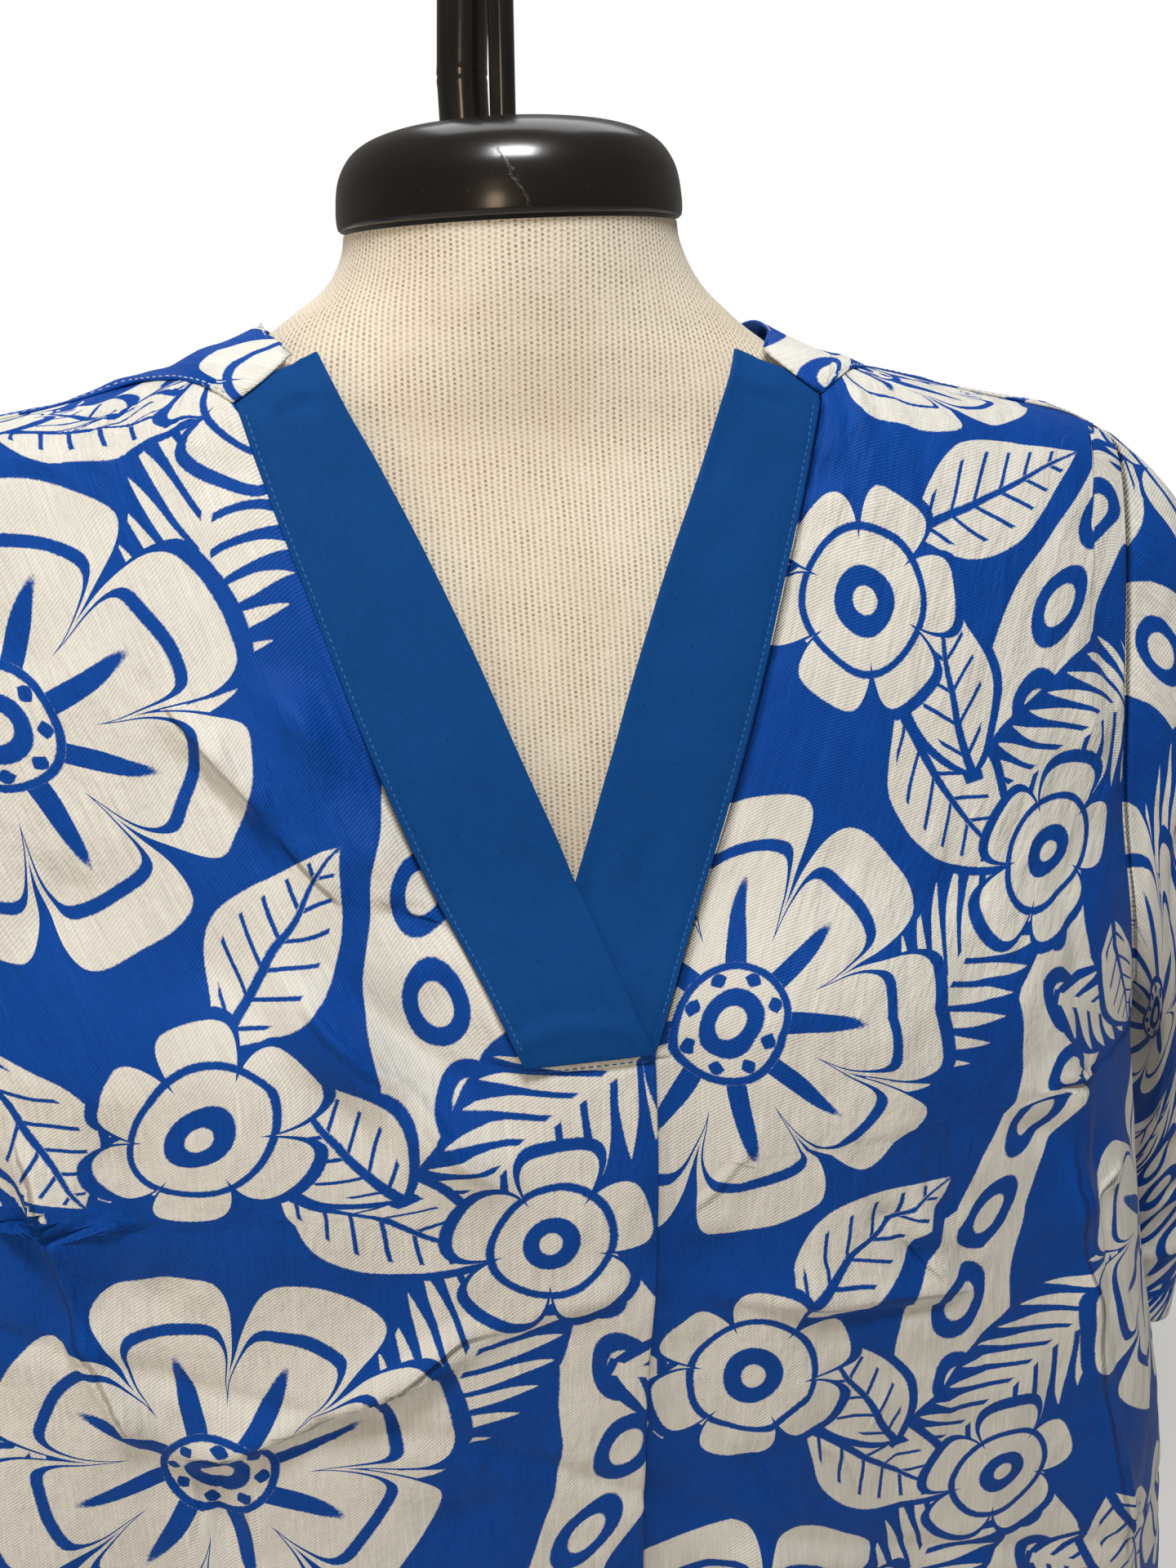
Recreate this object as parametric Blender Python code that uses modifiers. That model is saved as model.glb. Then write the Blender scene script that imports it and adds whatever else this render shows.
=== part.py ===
"""V-neck tunic top on a limbless dress form.

Blender 4.5, metres, +Z up.  The wearer's front faces -Y, +X is the wearer's left
(the right of a picture taken from the front).  The origin is on the standing
surface under the middle of the part.

The top is built the way it is cut and sewn: a front with a knife pleat under the
placket, a back, a yoke that crosses the back neck and both shoulders, two wide
neck bands that cross over at the point of the V, and two long-elbow sleeves.
Every panel is a thin wall through horizontal sections worked out from the sizes
below.  The form is a torso with a knit cover, a neck cap and two short rods.
"""

import math

import bmesh
import bpy
import numpy as np
from mathutils import Matrix, Vector

# ----------------------------------------------------------------------------
# Driving dimensions (millimetres unless a name says otherwise)
# ----------------------------------------------------------------------------
MM = 0.001
SHIFT_Y = -8.2            # moves the whole part so that the origin is under its middle
RIM = 770.0               # height of the neck cap's lower rim above the surface
HEM = 87.0                # height of the top's hem
UNDERARM = 470.0          # height of the lowest point of the armhole
ARM_TOP = 703.4           # height of the highest point of the armhole
PLACKET = 516.0           # height of the seam under the placket
YOKE_BACK = 640.0         # height of the yoke seam across the back
BAND_OUT_TOP = 716.0      # height of the neck band's outer top corner
BAND_IN_TOP = 729.4       # height of the neck band's inner top corner
WALL = 1.0                # cloth wall
SEAM = 0.35               # gap left at each seam
PLEAT_EDGE = 21.3         # the pleat's crisp fold, to the wearer's left of centre
PLEAT_BACK = -6.0         # the hidden fold of the pleat
PLEAT_STEP = 1.6          # distance between its layers at the placket
PLEAT_OPEN = 2.2          # more distance between them at the hem
LAP = 1.9                 # how far the upper neck band stands on the lower one
DROP_LEFT = 5.0           # the wearer's right shoulder hangs lower than the left
DROP_RIGHT = 2.0
SLEEVE_HEM = 243.0        # height of the sleeve's hem
CAP_TILT = 2.5            # degrees
ROD_TOP = 862.0

# Horizontal sections of the worn top.  Each is a squared ellipse about centre_y.
#   height  half_width  centre_y  front  back  squareness
TOP = np.array([
    (87.0, 331.0, 0.0, 134.0, 142.0, 2.80),
    (190.0, 316.0, 0.0, 134.0, 137.0, 2.90),
    (280.0, 300.0, -1.0, 134.0, 131.0, 2.85),
    (370.0, 278.0, -2.0, 133.0, 125.0, 2.70),
    (440.0, 262.0, -3.0, 131.5, 121.0, 2.50),
    (470.0, 256.0, -4.0, 129.5, 119.0, 2.50),
    (516.0, 254.0, -5.0, 123.0, 117.0, 2.50),
    (567.0, 254.0, -8.0, 96.5, 113.0, 2.50),
    (610.0, 254.0, -10.0, 82.5, 109.0, 2.50),
    (650.0, 252.0, -11.0, 69.5, 103.0, 2.50),
    (680.0, 246.0, -12.0, 58.5, 97.0, 2.40),
    (693.0, 238.0, -12.0, 54.0, 94.0, 2.35),
    (703.0, 222.0, -12.0, 51.0, 91.0, 2.30),
    (710.0, 200.0, -12.0, 49.3, 88.0, 2.25),
    (716.0, 168.0, -12.0, 48.5, 86.0, 2.20),
    (722.0, 140.0, -11.0, 49.5, 82.5, 2.15),
    (727.0, 117.0, -10.0, 50.3, 79.0, 2.10),
    (733.0, 97.5, -9.0, 51.3, 75.5, 2.05),
    (738.0, 87.0, -7.0, 53.0, 72.5, 2.00),
    (743.0, 79.0, -5.0, 55.0, 69.5, 2.00),
    (749.0, 70.0, -3.0, 57.0, 66.0, 2.00),
    (754.0, 40.0, -3.0, 57.5, 65.5, 2.00),
    (756.0, 5.0, -3.0, 58.0, 65.0, 2.00),
], float)

# Horizontal sections of the dress form, same columns.
FORM = np.array([
    (0.0, 176.0, -2.0, 98.0, 112.0, 2.30),
    (60.0, 189.0, -2.0, 107.0, 121.0, 2.30),
    (130.0, 192.0, -2.0, 108.0, 122.0, 2.30),
    (210.0, 176.0, -2.0, 100.0, 106.0, 2.30),
    (300.0, 152.0, -3.0, 90.0, 86.0, 2.20),
    (340.0, 150.0, -3.0, 90.0, 84.0, 2.20),
    (410.0, 166.0, -4.0, 104.0, 94.0, 2.20),
    (470.0, 184.0, -5.0, 115.0, 104.0, 2.25),
    (516.0, 190.0, -6.0, 110.0, 109.0, 2.30),
    (567.0, 192.0, -8.0, 89.0, 109.0, 2.35),
    (610.0, 196.0, -10.0, 77.5, 105.0, 2.35),
    (650.0, 198.0, -11.0, 65.0, 99.0, 2.40),
    (676.0, 198.0, -12.0, 55.0, 93.0, 2.40),
    (688.5, 194.0, -12.0, 50.5, 90.0, 2.35),
    (698.5, 182.0, -12.0, 47.5, 87.0, 2.30),
    (705.5, 166.0, -12.0, 46.0, 84.0, 2.25),
    (711.5, 147.0, -12.0, 45.5, 82.0, 2.20),
    (718.0, 125.0, -11.0, 46.5, 78.5, 2.15),
    (724.0, 106.0, -10.0, 47.5, 75.5, 2.10),
    (731.0, 91.0, -9.0, 48.6, 72.0, 2.05),
    (737.0, 82.0, -7.0, 50.3, 69.5, 2.00),
    (742.5, 75.0, -5.0, 52.3, 66.5, 2.00),
    (749.0, 67.0, -3.0, 54.3, 63.0, 2.00),
    (757.0, 61.0, -1.0, 56.3, 60.0, 2.00),
    (765.0, 57.8, 0.0, 57.0, 58.0, 2.00),
    (769.2, 57.2, 0.0, 57.0, 57.4, 2.00),
], float)

# Half-widths of the neck opening's edges.
#   height  outer_edge
BAND_OUTER = np.array([
    (516.0, 21.8), (540.0, 32.4), (569.0, 46.4), (614.0, 63.4),
    (659.0, 78.0), (688.0, 87.4), (716.0, 95.4),
], float)
V_POINT = 567.6           # height where the inner edges meet
V_SLOPE = 0.404           # half-width of the inner edge for each mm above it

# The armhole's edge.
#   height  x
ARMHOLE = np.array([
    (470.0, 255.9), (474.0, 251.0), (484.0, 242.0), (504.0, 231.0), (536.0, 223.5),
    (580.0, 220.0), (640.0, 219.0), (680.0, 220.0), (703.4, 220.9),
], float)

# The front yoke seam, from the band's corner to the top of the armhole.
#   x  height
YOKE_FRONT = np.array([
    (95.4, 716.0), (100.5, 719.0), (106.0, 721.6), (113.0, 723.5), (124.0, 723.9),
    (147.0, 720.0), (170.0, 715.2), (197.0, 709.8), (220.9, 703.4),
], float)

# The neck edge of the yoke, from the centre back to the band.
#   x  height  side (-1 back, 1 front)
YOKE_NECK = np.array([
    (0.0, 746.0, -1.0), (30.0, 745.3, -1.0), (56.0, 742.3, -1.0), (77.0, 738.8, -1.0),
    (86.5, 738.1, -1.0), (84.6, 735.2, 1.0), (77.0, 729.6, 1.0),
], float)

# The largest folds.  Azimuth is measured at the axis, 0 in front, 90 at +X.
#   azimuth_top  height_top  azimuth_hem  amplitude  half_width (degrees)
FOLDS = np.array([
    (63.0, 500.0, 69.0, 8.0, 6.5),
    (77.0, 480.0, 82.0, -6.5, 6.0),
    (44.0, 400.0, 47.0, -5.0, 8.0),
    (100.0, 500.0, 101.0, -9.0, 11.0),
    (-62.0, 520.0, -66.0, 7.5, 6.0),
    (-50.0, 480.0, -53.0, -6.5, 6.0),
    (-77.0, 470.0, -80.0, -6.5, 6.0),
    (-36.0, 380.0, -38.0, 5.0, 6.0),
    (-100.0, 500.0, -101.0, -9.0, 11.0),
    (121.0, 380.0, 118.0, 8.0, 6.0),
    (135.0, 560.0, 131.0, -8.0, 7.0),
    (152.0, 520.0, 148.0, 8.5, 7.0),
    (173.0, 470.0, 170.0, -7.0, 8.0),
    (-164.0, 500.0, -167.0, 7.5, 8.0),
    (-144.0, 540.0, -142.0, -8.5, 9.0),
    (-122.0, 400.0, -118.0, 8.0, 7.0),
], float)

# Mesh steps
COLS_FRONT = 9            # from the band to the armhole
ROWS_CHEST = 9            # from the yoke to the placket seam
ROWS_MID = 3              # from there to the underarm
ROWS_SKIRT = 12           # from there to the hem
ROWS_BACK = 6
ROWS_YOKE = 6
ROWS_SLEEVE = 11


# ----------------------------------------------------------------------------
# Working functions
# ----------------------------------------------------------------------------
def curve(xs, ys, x):
    """Monotone cubic curve through a table's points, read at x."""
    xs = np.asarray(xs, float)
    ys = np.asarray(ys, float)
    step = np.diff(xs)
    slope = np.diff(ys) / step
    m = np.zeros(len(xs))
    for i in range(1, len(xs) - 1):
        if slope[i - 1] * slope[i] > 0:
            a = 2 * step[i] + step[i - 1]
            b = step[i] + 2 * step[i - 1]
            m[i] = (a + b) / (a / slope[i - 1] + b / slope[i])
    m[0], m[-1] = slope[0], slope[-1]
    x = min(max(x, xs[0]), xs[-1])
    k = int(min(max(np.searchsorted(xs, x) - 1, 0), len(xs) - 2))
    t = (x - xs[k]) / step[k]
    return ((2 * t ** 3 - 3 * t ** 2 + 1) * ys[k] + (t ** 3 - 2 * t ** 2 + t) * step[k] * m[k]
            + (-2 * t ** 3 + 3 * t ** 2) * ys[k + 1] + (t ** 3 - t ** 2) * step[k] * m[k + 1])


def smooth(a, b, x):
    t = min(max((x - a) / (b - a), 0.0), 1.0)
    return t * t * (3 - 2 * t)


def section(table, h):
    return [curve(table[:, 0], table[:, i], h) for i in range(1, 6)]


def angle_of_x(table, x, h):
    """Section angle (0 at the side, pi/2 at the centre) of the point at half-width x."""
    w, _, _, _, n = section(table, h)
    return math.acos(min(1.0, (abs(x) / w) ** (n / 2)))


def on_section(table, angle, h, back=False):
    w, c, f, b, n = section(table, h)
    x = w * abs(math.cos(angle)) ** (2 / n)
    y = abs(math.sin(angle)) ** (2 / n)
    return Vector((x, c + b * y if back else c - f * y, h))


def ridge(x):
    """Height of the shoulder line at half-width x."""
    return curve(-TOP[9:, 1], TOP[9:, 0], -abs(x))


def on_profile(x, w):
    """Point at half-width x whose signed distance under the shoulder line is w**2.2,
    behind the line when w is negative."""
    h = ridge(x) - abs(w) ** 2.2
    width, c, f, b, n = section(TOP, h)
    k = max(0.0, 1 - min(1.0, abs(x) / width) ** n) ** (1 / n)
    return Vector((x, c - f * k if w > 0 else c + b * k, h))


def drop_of(x, h, side):
    return side * max(ridge(x) - h, 0.0) ** (1 / 2.2)


def normal_at(p, table=TOP):
    def field(q):
        w, c, f, b, n = section(table, q.z)
        d = f if q.y < c else b
        return (abs(q.x) / w) ** n + (abs(q.y - c) / d) ** n
    e = 0.4
    g = Vector([field(p + Vector(v) * e) - field(p - Vector(v) * e)
                for v in ((1, 0, 0), (0, 1, 0), (0, 0, 1))])
    return g.normalized() if g.length > 1e-9 else Vector((0, 0, 1))


def fold_height(p):
    """How far the largest folds move the cloth out (+) or in (-) at p."""
    az = math.degrees(math.atan2(p.x, -(p.y + 3)))
    d = 0.0
    for az_top, h_top, az_hem, amp, half in FOLDS:
        if p.z >= h_top:
            continue
        t = (h_top - p.z) / (h_top - HEM)
        mid = az_top + (az_hem - az_top) * t
        off = (az - mid + 180) % 360 - 180
        d += amp * smooth(0, 0.5, t) * math.exp(-(off / half) ** 2)
    return d


def settle(p, out=0.0):
    """Worn place of a point of the smooth section surface: folds, shoulder drop."""
    n = normal_at(p)
    q = p + n * (out + fold_height(p))
    drop = DROP_LEFT if p.x < 0 else DROP_RIGHT
    q.z -= drop * smooth(95, 155, abs(p.x))
    return q


def mirror_x(p):
    return Vector((-p.x, p.y, p.z))


# ----------------------------------------------------------------------------
# Blender helpers
# ----------------------------------------------------------------------------
for ob in list(bpy.data.objects):
    bpy.data.objects.remove(ob, do_unlink=True)

parts = bpy.data.collections.new("v_neck_top_on_dress_form")
bpy.context.scene.collection.children.link(parts)


def material(name, colour, rough, metal=0.0):
    mat = bpy.data.materials.new(name)
    mat.use_nodes = True
    bsdf = mat.node_tree.nodes["Principled BSDF"]
    bsdf.inputs["Base Color"].default_value = (*colour, 1)
    bsdf.inputs["Roughness"].default_value = rough
    bsdf.inputs["Metallic"].default_value = metal
    mat.diffuse_color = (*colour, 1)
    return mat


def place(mesh, name, mat):
    ob = bpy.data.objects.new(name, mesh)
    ob.data.materials.append(mat)
    ob.location = (0, SHIFT_Y * MM, 0)
    parts.objects.link(ob)
    return ob


def grid_mesh(name, grids, closed=False):
    """Joins grids of points (lists of rows) that share their edge points."""
    bm = bmesh.new()
    for grid in grids:
        rows = [[bm.verts.new(p * MM) for p in row] for row in grid]
        for r in range(len(rows) - 1):
            n = len(rows[r])
            for c in range(n if closed else n - 1):
                d = (c + 1) % n
                bm.faces.new((rows[r][c], rows[r][d], rows[r + 1][d], rows[r + 1][c]))
    bmesh.ops.remove_doubles(bm, verts=bm.verts, dist=0.00002)
    mesh = bpy.data.meshes.new(name)
    bm.to_mesh(mesh)
    bm.free()
    for poly in mesh.polygons:
        poly.use_smooth = True
    return mesh


def wall(ob, thick=WALL):
    """Cloth: the open surface becomes a wall, half of it on each side."""
    mod = ob.modifiers.new("Wall", "SOLIDIFY")
    mod.thickness = thick * MM
    mod.offset = 0.0
    mod.use_rim = True
    mod.use_even_offset = False


blue_white = material("printed_cotton", (0.10, 0.19, 0.55), 0.72)
plain_blue = material("plain_cotton", (0.02, 0.10, 0.33), 0.78)
knit = material("knit_cover", (0.72, 0.66, 0.56), 0.92)
black = material("black_plastic", (0.02, 0.017, 0.015), 0.22)


# ----------------------------------------------------------------------------
# Front
# ----------------------------------------------------------------------------
def edge_in(h):
    return curve(BAND_OUTER[:, 0], BAND_OUTER[:, 1], h)


def angle_in(h):
    return angle_of_x(TOP, edge_in(h) + SEAM, h)


def angle_out(h):
    if h >= ARM_TOP:
        return 0.0
    if h <= UNDERARM:
        w, c, f, b, n = section(TOP, h)
        return math.asin((SEAM / f) ** (n / 2))
    return angle_of_x(TOP, curve(ARMHOLE[:, 0], ARMHOLE[:, 1], h), h)


# The yoke seam, read as fractions of the way from the band to the armhole.
seam_s, seam_h = [], []
for x, h in YOKE_FRONT:
    a = angle_in(h)
    seam_s.append((a - angle_of_x(TOP, x, h)) / (a - angle_out(h)))
    seam_h.append(h)
seam_s[0], seam_s[-1] = 0.0, 1.0


def column_share(i):
    """Columns lie closer together near the armhole, where the shoulder turns."""
    t = i / COLS_FRONT
    return t + 0.10 * math.sin(math.pi * t)


def front_point(s, h):
    a = angle_in(h) * (1 - s) + angle_out(h) * s
    return on_section(TOP, a, h)


def front_rows(s):
    top = curve(seam_s, seam_h, s)
    rows = [top + (PLACKET - top) * (r / ROWS_CHEST) ** 0.85 for r in range(ROWS_CHEST + 1)]
    rows += [PLACKET + (UNDERARM - PLACKET) * r / ROWS_MID for r in range(1, ROWS_MID + 1)]
    rows += [UNDERARM + (HEM - UNDERARM) * r / ROWS_SKIRT for r in range(1, ROWS_SKIRT + 1)]
    return rows


def pleat_step(h):
    return PLEAT_STEP + PLEAT_OPEN * smooth(0, 1, (PLACKET - h) / (PLACKET - HEM))


def under_layer(x, h):
    """The cloth beside the pleat's edge starts two layers down and comes level."""
    sunk = smooth(PLACKET + 60, PLACKET - 10, h)
    return -2 * pleat_step(h) * sunk * (1 - smooth(24, 78, x))


def half_front(sign):
    shares = [column_share(i) for i in range(COLS_FRONT + 1)]
    heights = [front_rows(s) for s in shares]
    grid = []
    for r in range(len(heights[0])):
        row = []
        for s, hs in zip(shares, heights):
            p = front_point(s, hs[r])
            out = under_layer(p.x, p.z) if sign > 0 else 0.0
            if sign < 0:
                p = mirror_x(p)
            row.append(settle(p, out))
        grid.append(row if sign > 0 else row[::-1])
    return grid


def pleat_row(h, left, right):
    """Knife pleat: the upper layer runs to the crisp fold, turns under to the hidden
    fold and turns again to become the cloth of the other side."""
    step = pleat_step(h)
    e, b = PLEAT_EDGE, PLEAT_BACK
    half = 0.5 * step
    path = [(-8.0, 0.0), (8.0, 0.0), (e - half, 0.0), (e, -0.25 * step), (e, -0.75 * step),
            (e - half, -step), (8.0, -step), (b + half, -step), (b, -1.25 * step),
            (b, -1.75 * step), (b + half, -2 * step), (8.0, -2 * step)]
    row = [left]
    for x, out in path:
        a = angle_of_x(TOP, x, h)
        p = on_section(TOP, a, h)
        p.x = x
        row.append(settle(p, out))
    row.append(right)
    return row


left_half = half_front(-1)
right_half = half_front(1)
middle = []
for r in range(ROWS_CHEST, len(left_half)):
    h = front_rows(0.0)[r]
    middle.append(pleat_row(h - (SEAM if r == ROWS_CHEST else 0.0), left_half[r][-1], right_half[r][0]))

front = place(grid_mesh("front", [left_half, middle, right_half]), "front", blue_white)
wall(front)


# ----------------------------------------------------------------------------
# Yoke and back
# ----------------------------------------------------------------------------
shares = [column_share(i) for i in range(COLS_FRONT + 1)]


def yoke_edge():
    """The yoke's upper edge on one side: half-width and signed drop at each column."""
    pts = []
    for x, h, side in YOKE_NECK:
        pts.append((x, drop_of(x, h, side)))
    for s in shares:
        h = curve(seam_s, seam_h, s)
        p = front_point(s, h)
        x = min(p.x, ridge_limit(h))
        pts.append((x, drop_of(x, h, 1.0) - 2.2 * SEAM / 3))
    return pts


def ridge_limit(h):
    return section(TOP, h)[0]


top_edge = yoke_edge()
COLS_HALF = len(top_edge) - 1
arm_back = curve(ARMHOLE[:, 0], ARMHOLE[:, 1], YOKE_BACK)
seam_x = [arm_back * math.sin(0.5 * math.pi * i / COLS_HALF) ** 0.95 if i else 0.0
          for i in range(COLS_HALF + 1)]


def yoke_column(i, mirrored):
    x1, w1 = top_edge[i]
    x0 = seam_x[i]
    h0 = YOKE_BACK + SEAM
    w0 = drop_of(x0, h0, -1.0)
    col = []
    for r in range(ROWS_YOKE + 1):
        t = r / ROWS_YOKE
        if i == COLS_HALF:
            h = h0 + (ARM_TOP - h0) * t
            x = curve(ARMHOLE[:, 0], ARMHOLE[:, 1], h)
            a = angle_of_x(TOP, x, h)
            p = on_section(TOP, a, h, back=True)
            if r == ROWS_YOKE:
                p = on_profile(x1, w1)
        else:
            x = x0 + (x1 - x0) * t ** 1.2
            p = on_profile(x, w0 + (w1 - w0) * t)
        if mirrored:
            p = mirror_x(p)
        col.append(settle(p))
    return col


yoke_cols = ([yoke_column(i, True) for i in range(COLS_HALF, 0, -1)]
             + [yoke_column(i, False) for i in range(COLS_HALF + 1)])
yoke_grid = [[col[r] for col in yoke_cols] for r in range(ROWS_YOKE + 1)]
yoke = place(grid_mesh("yoke", [yoke_grid]), "yoke", blue_white)
wall(yoke)


def angle_back(h):
    if h <= UNDERARM:
        w, c, f, b, n = section(TOP, h)
        return math.asin((SEAM / b) ** (n / 2))
    return angle_of_x(TOP, curve(ARMHOLE[:, 0], ARMHOLE[:, 1], h), h)


def back_heights():
    rows = [YOKE_BACK - SEAM + (UNDERARM - YOKE_BACK + SEAM) * r / ROWS_BACK
            for r in range(ROWS_BACK + 1)]
    rows += [UNDERARM + (HEM - UNDERARM) * r / ROWS_SKIRT for r in range(1, ROWS_SKIRT + 1)]
    return rows


back_share = [(math.pi / 2 - angle_of_x(TOP, x, YOKE_BACK)) / (math.pi / 2 - angle_back(YOKE_BACK))
              for x in seam_x]
back_grid = []
for h in back_heights():
    edge = angle_back(h)
    half = [on_section(TOP, math.pi / 2 + (edge - math.pi / 2) * f, h, back=True)
            for f in back_share]
    half[0].x = 0.0
    row = [settle(mirror_x(p)) for p in half[:0:-1]] + [settle(p) for p in half]
    back_grid.append(row[::-1])
back = place(grid_mesh("back", [back_grid]), "back", blue_white)
wall(back)


# ----------------------------------------------------------------------------
# Neck bands
# ----------------------------------------------------------------------------
BAND_ROWS = 13
BAND_COLS = 3


def band_grid(sign, lift):
    """Strip between the V's inner and outer edges.  Both bands run on to the placket
    seam; the one that lies on top is lifted clear of the other."""
    grid = []
    for r in range(BAND_ROWS + 1):
        t = r / BAND_ROWS
        row = []
        for c in range(BAND_COLS + 1):
            u = c / BAND_COLS                       # 0 at the outer edge
            top = BAND_OUT_TOP + (BAND_IN_TOP - BAND_OUT_TOP) * u - 0.4
            h = top + (PLACKET + SEAM - top) * t
            outer = edge_in(h) - SEAM
            if h > BAND_OUT_TOP:
                outer += 0.25 * (h - BAND_OUT_TOP)
            inner = (h - V_POINT) * V_SLOPE
            x = outer + (inner - outer) * u
            if t == 0:
                x = (95.4 - SEAM) + (68.0 - 95.4 + SEAM) * u
            a = angle_of_x(TOP, x, h)
            p = on_section(TOP, a, h)
            p.x = x * sign
            out = lift * smooth(640, 590, h)
            if lift == 0.0:
                out = -0.3
            row.append(settle(p, out))
        grid.append(row if sign < 0 else row[::-1])
    return grid


band_right_side = place(grid_mesh("band_upper", [band_grid(-1, LAP)]), "band_upper", plain_blue)
wall(band_right_side)
band_left_side = place(grid_mesh("band_lower", [band_grid(1, 0.0)]), "band_lower", plain_blue)
wall(band_left_side)


# ----------------------------------------------------------------------------
# Sleeves
# ----------------------------------------------------------------------------
#   share of the length  hollow folds that run round the sleeve above its hem
SLEEVE_FOLDS = np.array([
    (0.72, 3.0, 0.035), (0.80, -3.0, 0.03), (0.87, 3.5, 0.03), (0.94, -2.5, 0.03),
], float)


def armhole_loop(sign):
    """The closed edge of the armhole: front edge down, back edge up, yoke edge over."""
    f = [row[-1] if sign > 0 else row[0] for row in (right_half if sign > 0 else left_half)]
    f = f[:ROWS_CHEST + ROWS_MID + 1]
    b = [row[0] if sign > 0 else row[-1] for row in back_grid][:ROWS_BACK + 1]
    y = [col for col in (yoke_cols[-1] if sign > 0 else yoke_cols[0])]
    return f + b[::-1][1:] + y[1:-1]


def sleeve_grid(sign):
    loop = [Vector((abs(p.x), p.y, p.z)) for p in armhole_loop(sign)]
    n = len(loop)
    mid = sum(loop, Vector()) / n
    end_mid = Vector((331.0, 74.0, SLEEVE_HEM))
    half_x, half_y = 26.0, 78.0
    grid = []
    turns = []
    for p in loop:
        # angle of the armhole point about its middle: 0 at the top, growing forward
        turns.append(math.atan2(-(p.y - mid.y) / 78.0, (p.z - mid.z) / 116.0))
    for r in range(ROWS_SLEEVE + 1):
        t = (r / ROWS_SLEEVE) ** 0.9
        row = []
        for p, a in zip(loop, turns):
            up = 0.5 + 0.5 * math.cos(a)            # 1 at the top of the head, 0 under the arm
            end = end_mid + Vector((half_x * math.cos(a), -half_y * math.sin(a), 0.0))
            end.z += 6.0 * math.cos(a)
            gap = (end - p).length
            start = Vector((0.84 + 0.08 * up, -0.10 * math.sin(a), -0.54 + 0.12 * up)).normalized()
            start *= gap * (0.36 + 0.28 * up)
            finish = Vector((0.04, 0.10, -1.0)).normalized() * gap * (0.9 + 0.3 * up)
            h00, h10 = 2 * t ** 3 - 3 * t ** 2 + 1, t ** 3 - 2 * t ** 2 + t
            h01, h11 = -2 * t ** 3 + 3 * t ** 2, t ** 3 - t ** 2
            q = p * h00 + start * h10 + end * h01 + finish * h11
            # it starts clear of the panels: beyond their edge over the shoulder, and
            # outside them under the arm, where both walls hang down
            q += (start.normalized() * 2.0 * SEAM + Vector((1.9 * (1 - up), 0, 0))) * (1 - t)
            out = Vector((math.cos(a), -math.sin(a), 0.0))
            for at, amp, half in SLEEVE_FOLDS:
                q = q + out * amp * math.exp(-((t - at) / half) ** 2) * (0.65 + 0.35 * math.sin(2 * a + 9 * at))
            row.append(q if sign > 0 else mirror_x(q))
        grid.append(row if sign > 0 else row[::-1])
    return grid


sleeves = {}
for name, sign in (("sleeve_left", 1), ("sleeve_right", -1)):
    sleeves[name] = place(grid_mesh(name, [sleeve_grid(sign)], closed=True), name, blue_white)
    wall(sleeves[name])


# ----------------------------------------------------------------------------
# Dress form
# ----------------------------------------------------------------------------
FORM_SIDES = 40
#   heights of the form's sections
FORM_ROWS = [0, 6, 60, 130, 210, 300, 340, 410, 455, 490, 516, 545, 580, 620, 655, 676, 688.5,
             698.5, 705.5, 711.5, 718, 724, 731, 737, 742.5, 749, 757, 765, 769.2]


def form_ring(h):
    w, c, f, b, n = section(FORM, h)
    if h == 0:
        w, f, b = w - 5, f - 5, b - 5
    ring = []
    for k in range(FORM_SIDES):
        a = 2 * math.pi * k / FORM_SIDES
        ca, sa = math.cos(a), math.sin(a)
        x = w * math.copysign(abs(ca) ** (2 / n), ca)
        y = math.copysign(abs(sa) ** (2 / n), sa)
        y = c + (b if y > 0 else f) * y
        z = h + math.tan(math.radians(CAP_TILT)) * x * smooth(738, 764, h)
        ring.append(Vector((x, y, z)))
    return ring


bm = bmesh.new()
rings = [[bm.verts.new(p * MM) for p in form_ring(h)] for h in FORM_ROWS]
for low, high in zip(rings, rings[1:]):
    for k in range(FORM_SIDES):
        d = (k + 1) % FORM_SIDES
        bm.faces.new((low[k], low[d], high[d], high[k]))
bm.faces.new(rings[0][::-1])
bm.faces.new(rings[-1])
mesh = bpy.data.meshes.new("form_torso")
bm.to_mesh(mesh)
bm.free()
mesh.shade_smooth()
mesh.set_sharp_from_angle(angle=math.radians(50))
torso = place(mesh, "form_torso", knit)

# Neck cap: a turned profile, tilted as it sits
#   radius  height above the rim
CAP = [(59.0, 0.4), (59.3, 4.0), (58.9, 9.0), (57.9, 14.5), (55.6, 19.6), (51.6, 24.2),
       (45.5, 27.6), (36.0, 30.1), (22.0, 31.6), (5.0, 32.0)]
profile = bpy.data.meshes.new("neck_cap")
bm = bmesh.new()
points = [(0.0, 32.0)] + CAP[::-1] + [(57.6, 0.0), (0.0, 0.0)]
verts = [bm.verts.new((r * MM, 0, z * MM)) for r, z in points]
for a, b in zip(verts, verts[1:]):
    bm.edges.new((a, b))
bm.to_mesh(profile)
bm.free()
cap = place(profile, "neck_cap", black)
turn = cap.modifiers.new("Turn", "SCREW")
turn.axis = "Z"
turn.angle = 2 * math.pi
turn.steps = turn.render_steps = 40
turn.use_merge_vertices = True
turn.merge_threshold = 0.00002
turn.use_smooth_shade = True
cap.rotation_euler = (0, -math.radians(CAP_TILT), 0)
cap.location.z = RIM * MM


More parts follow.
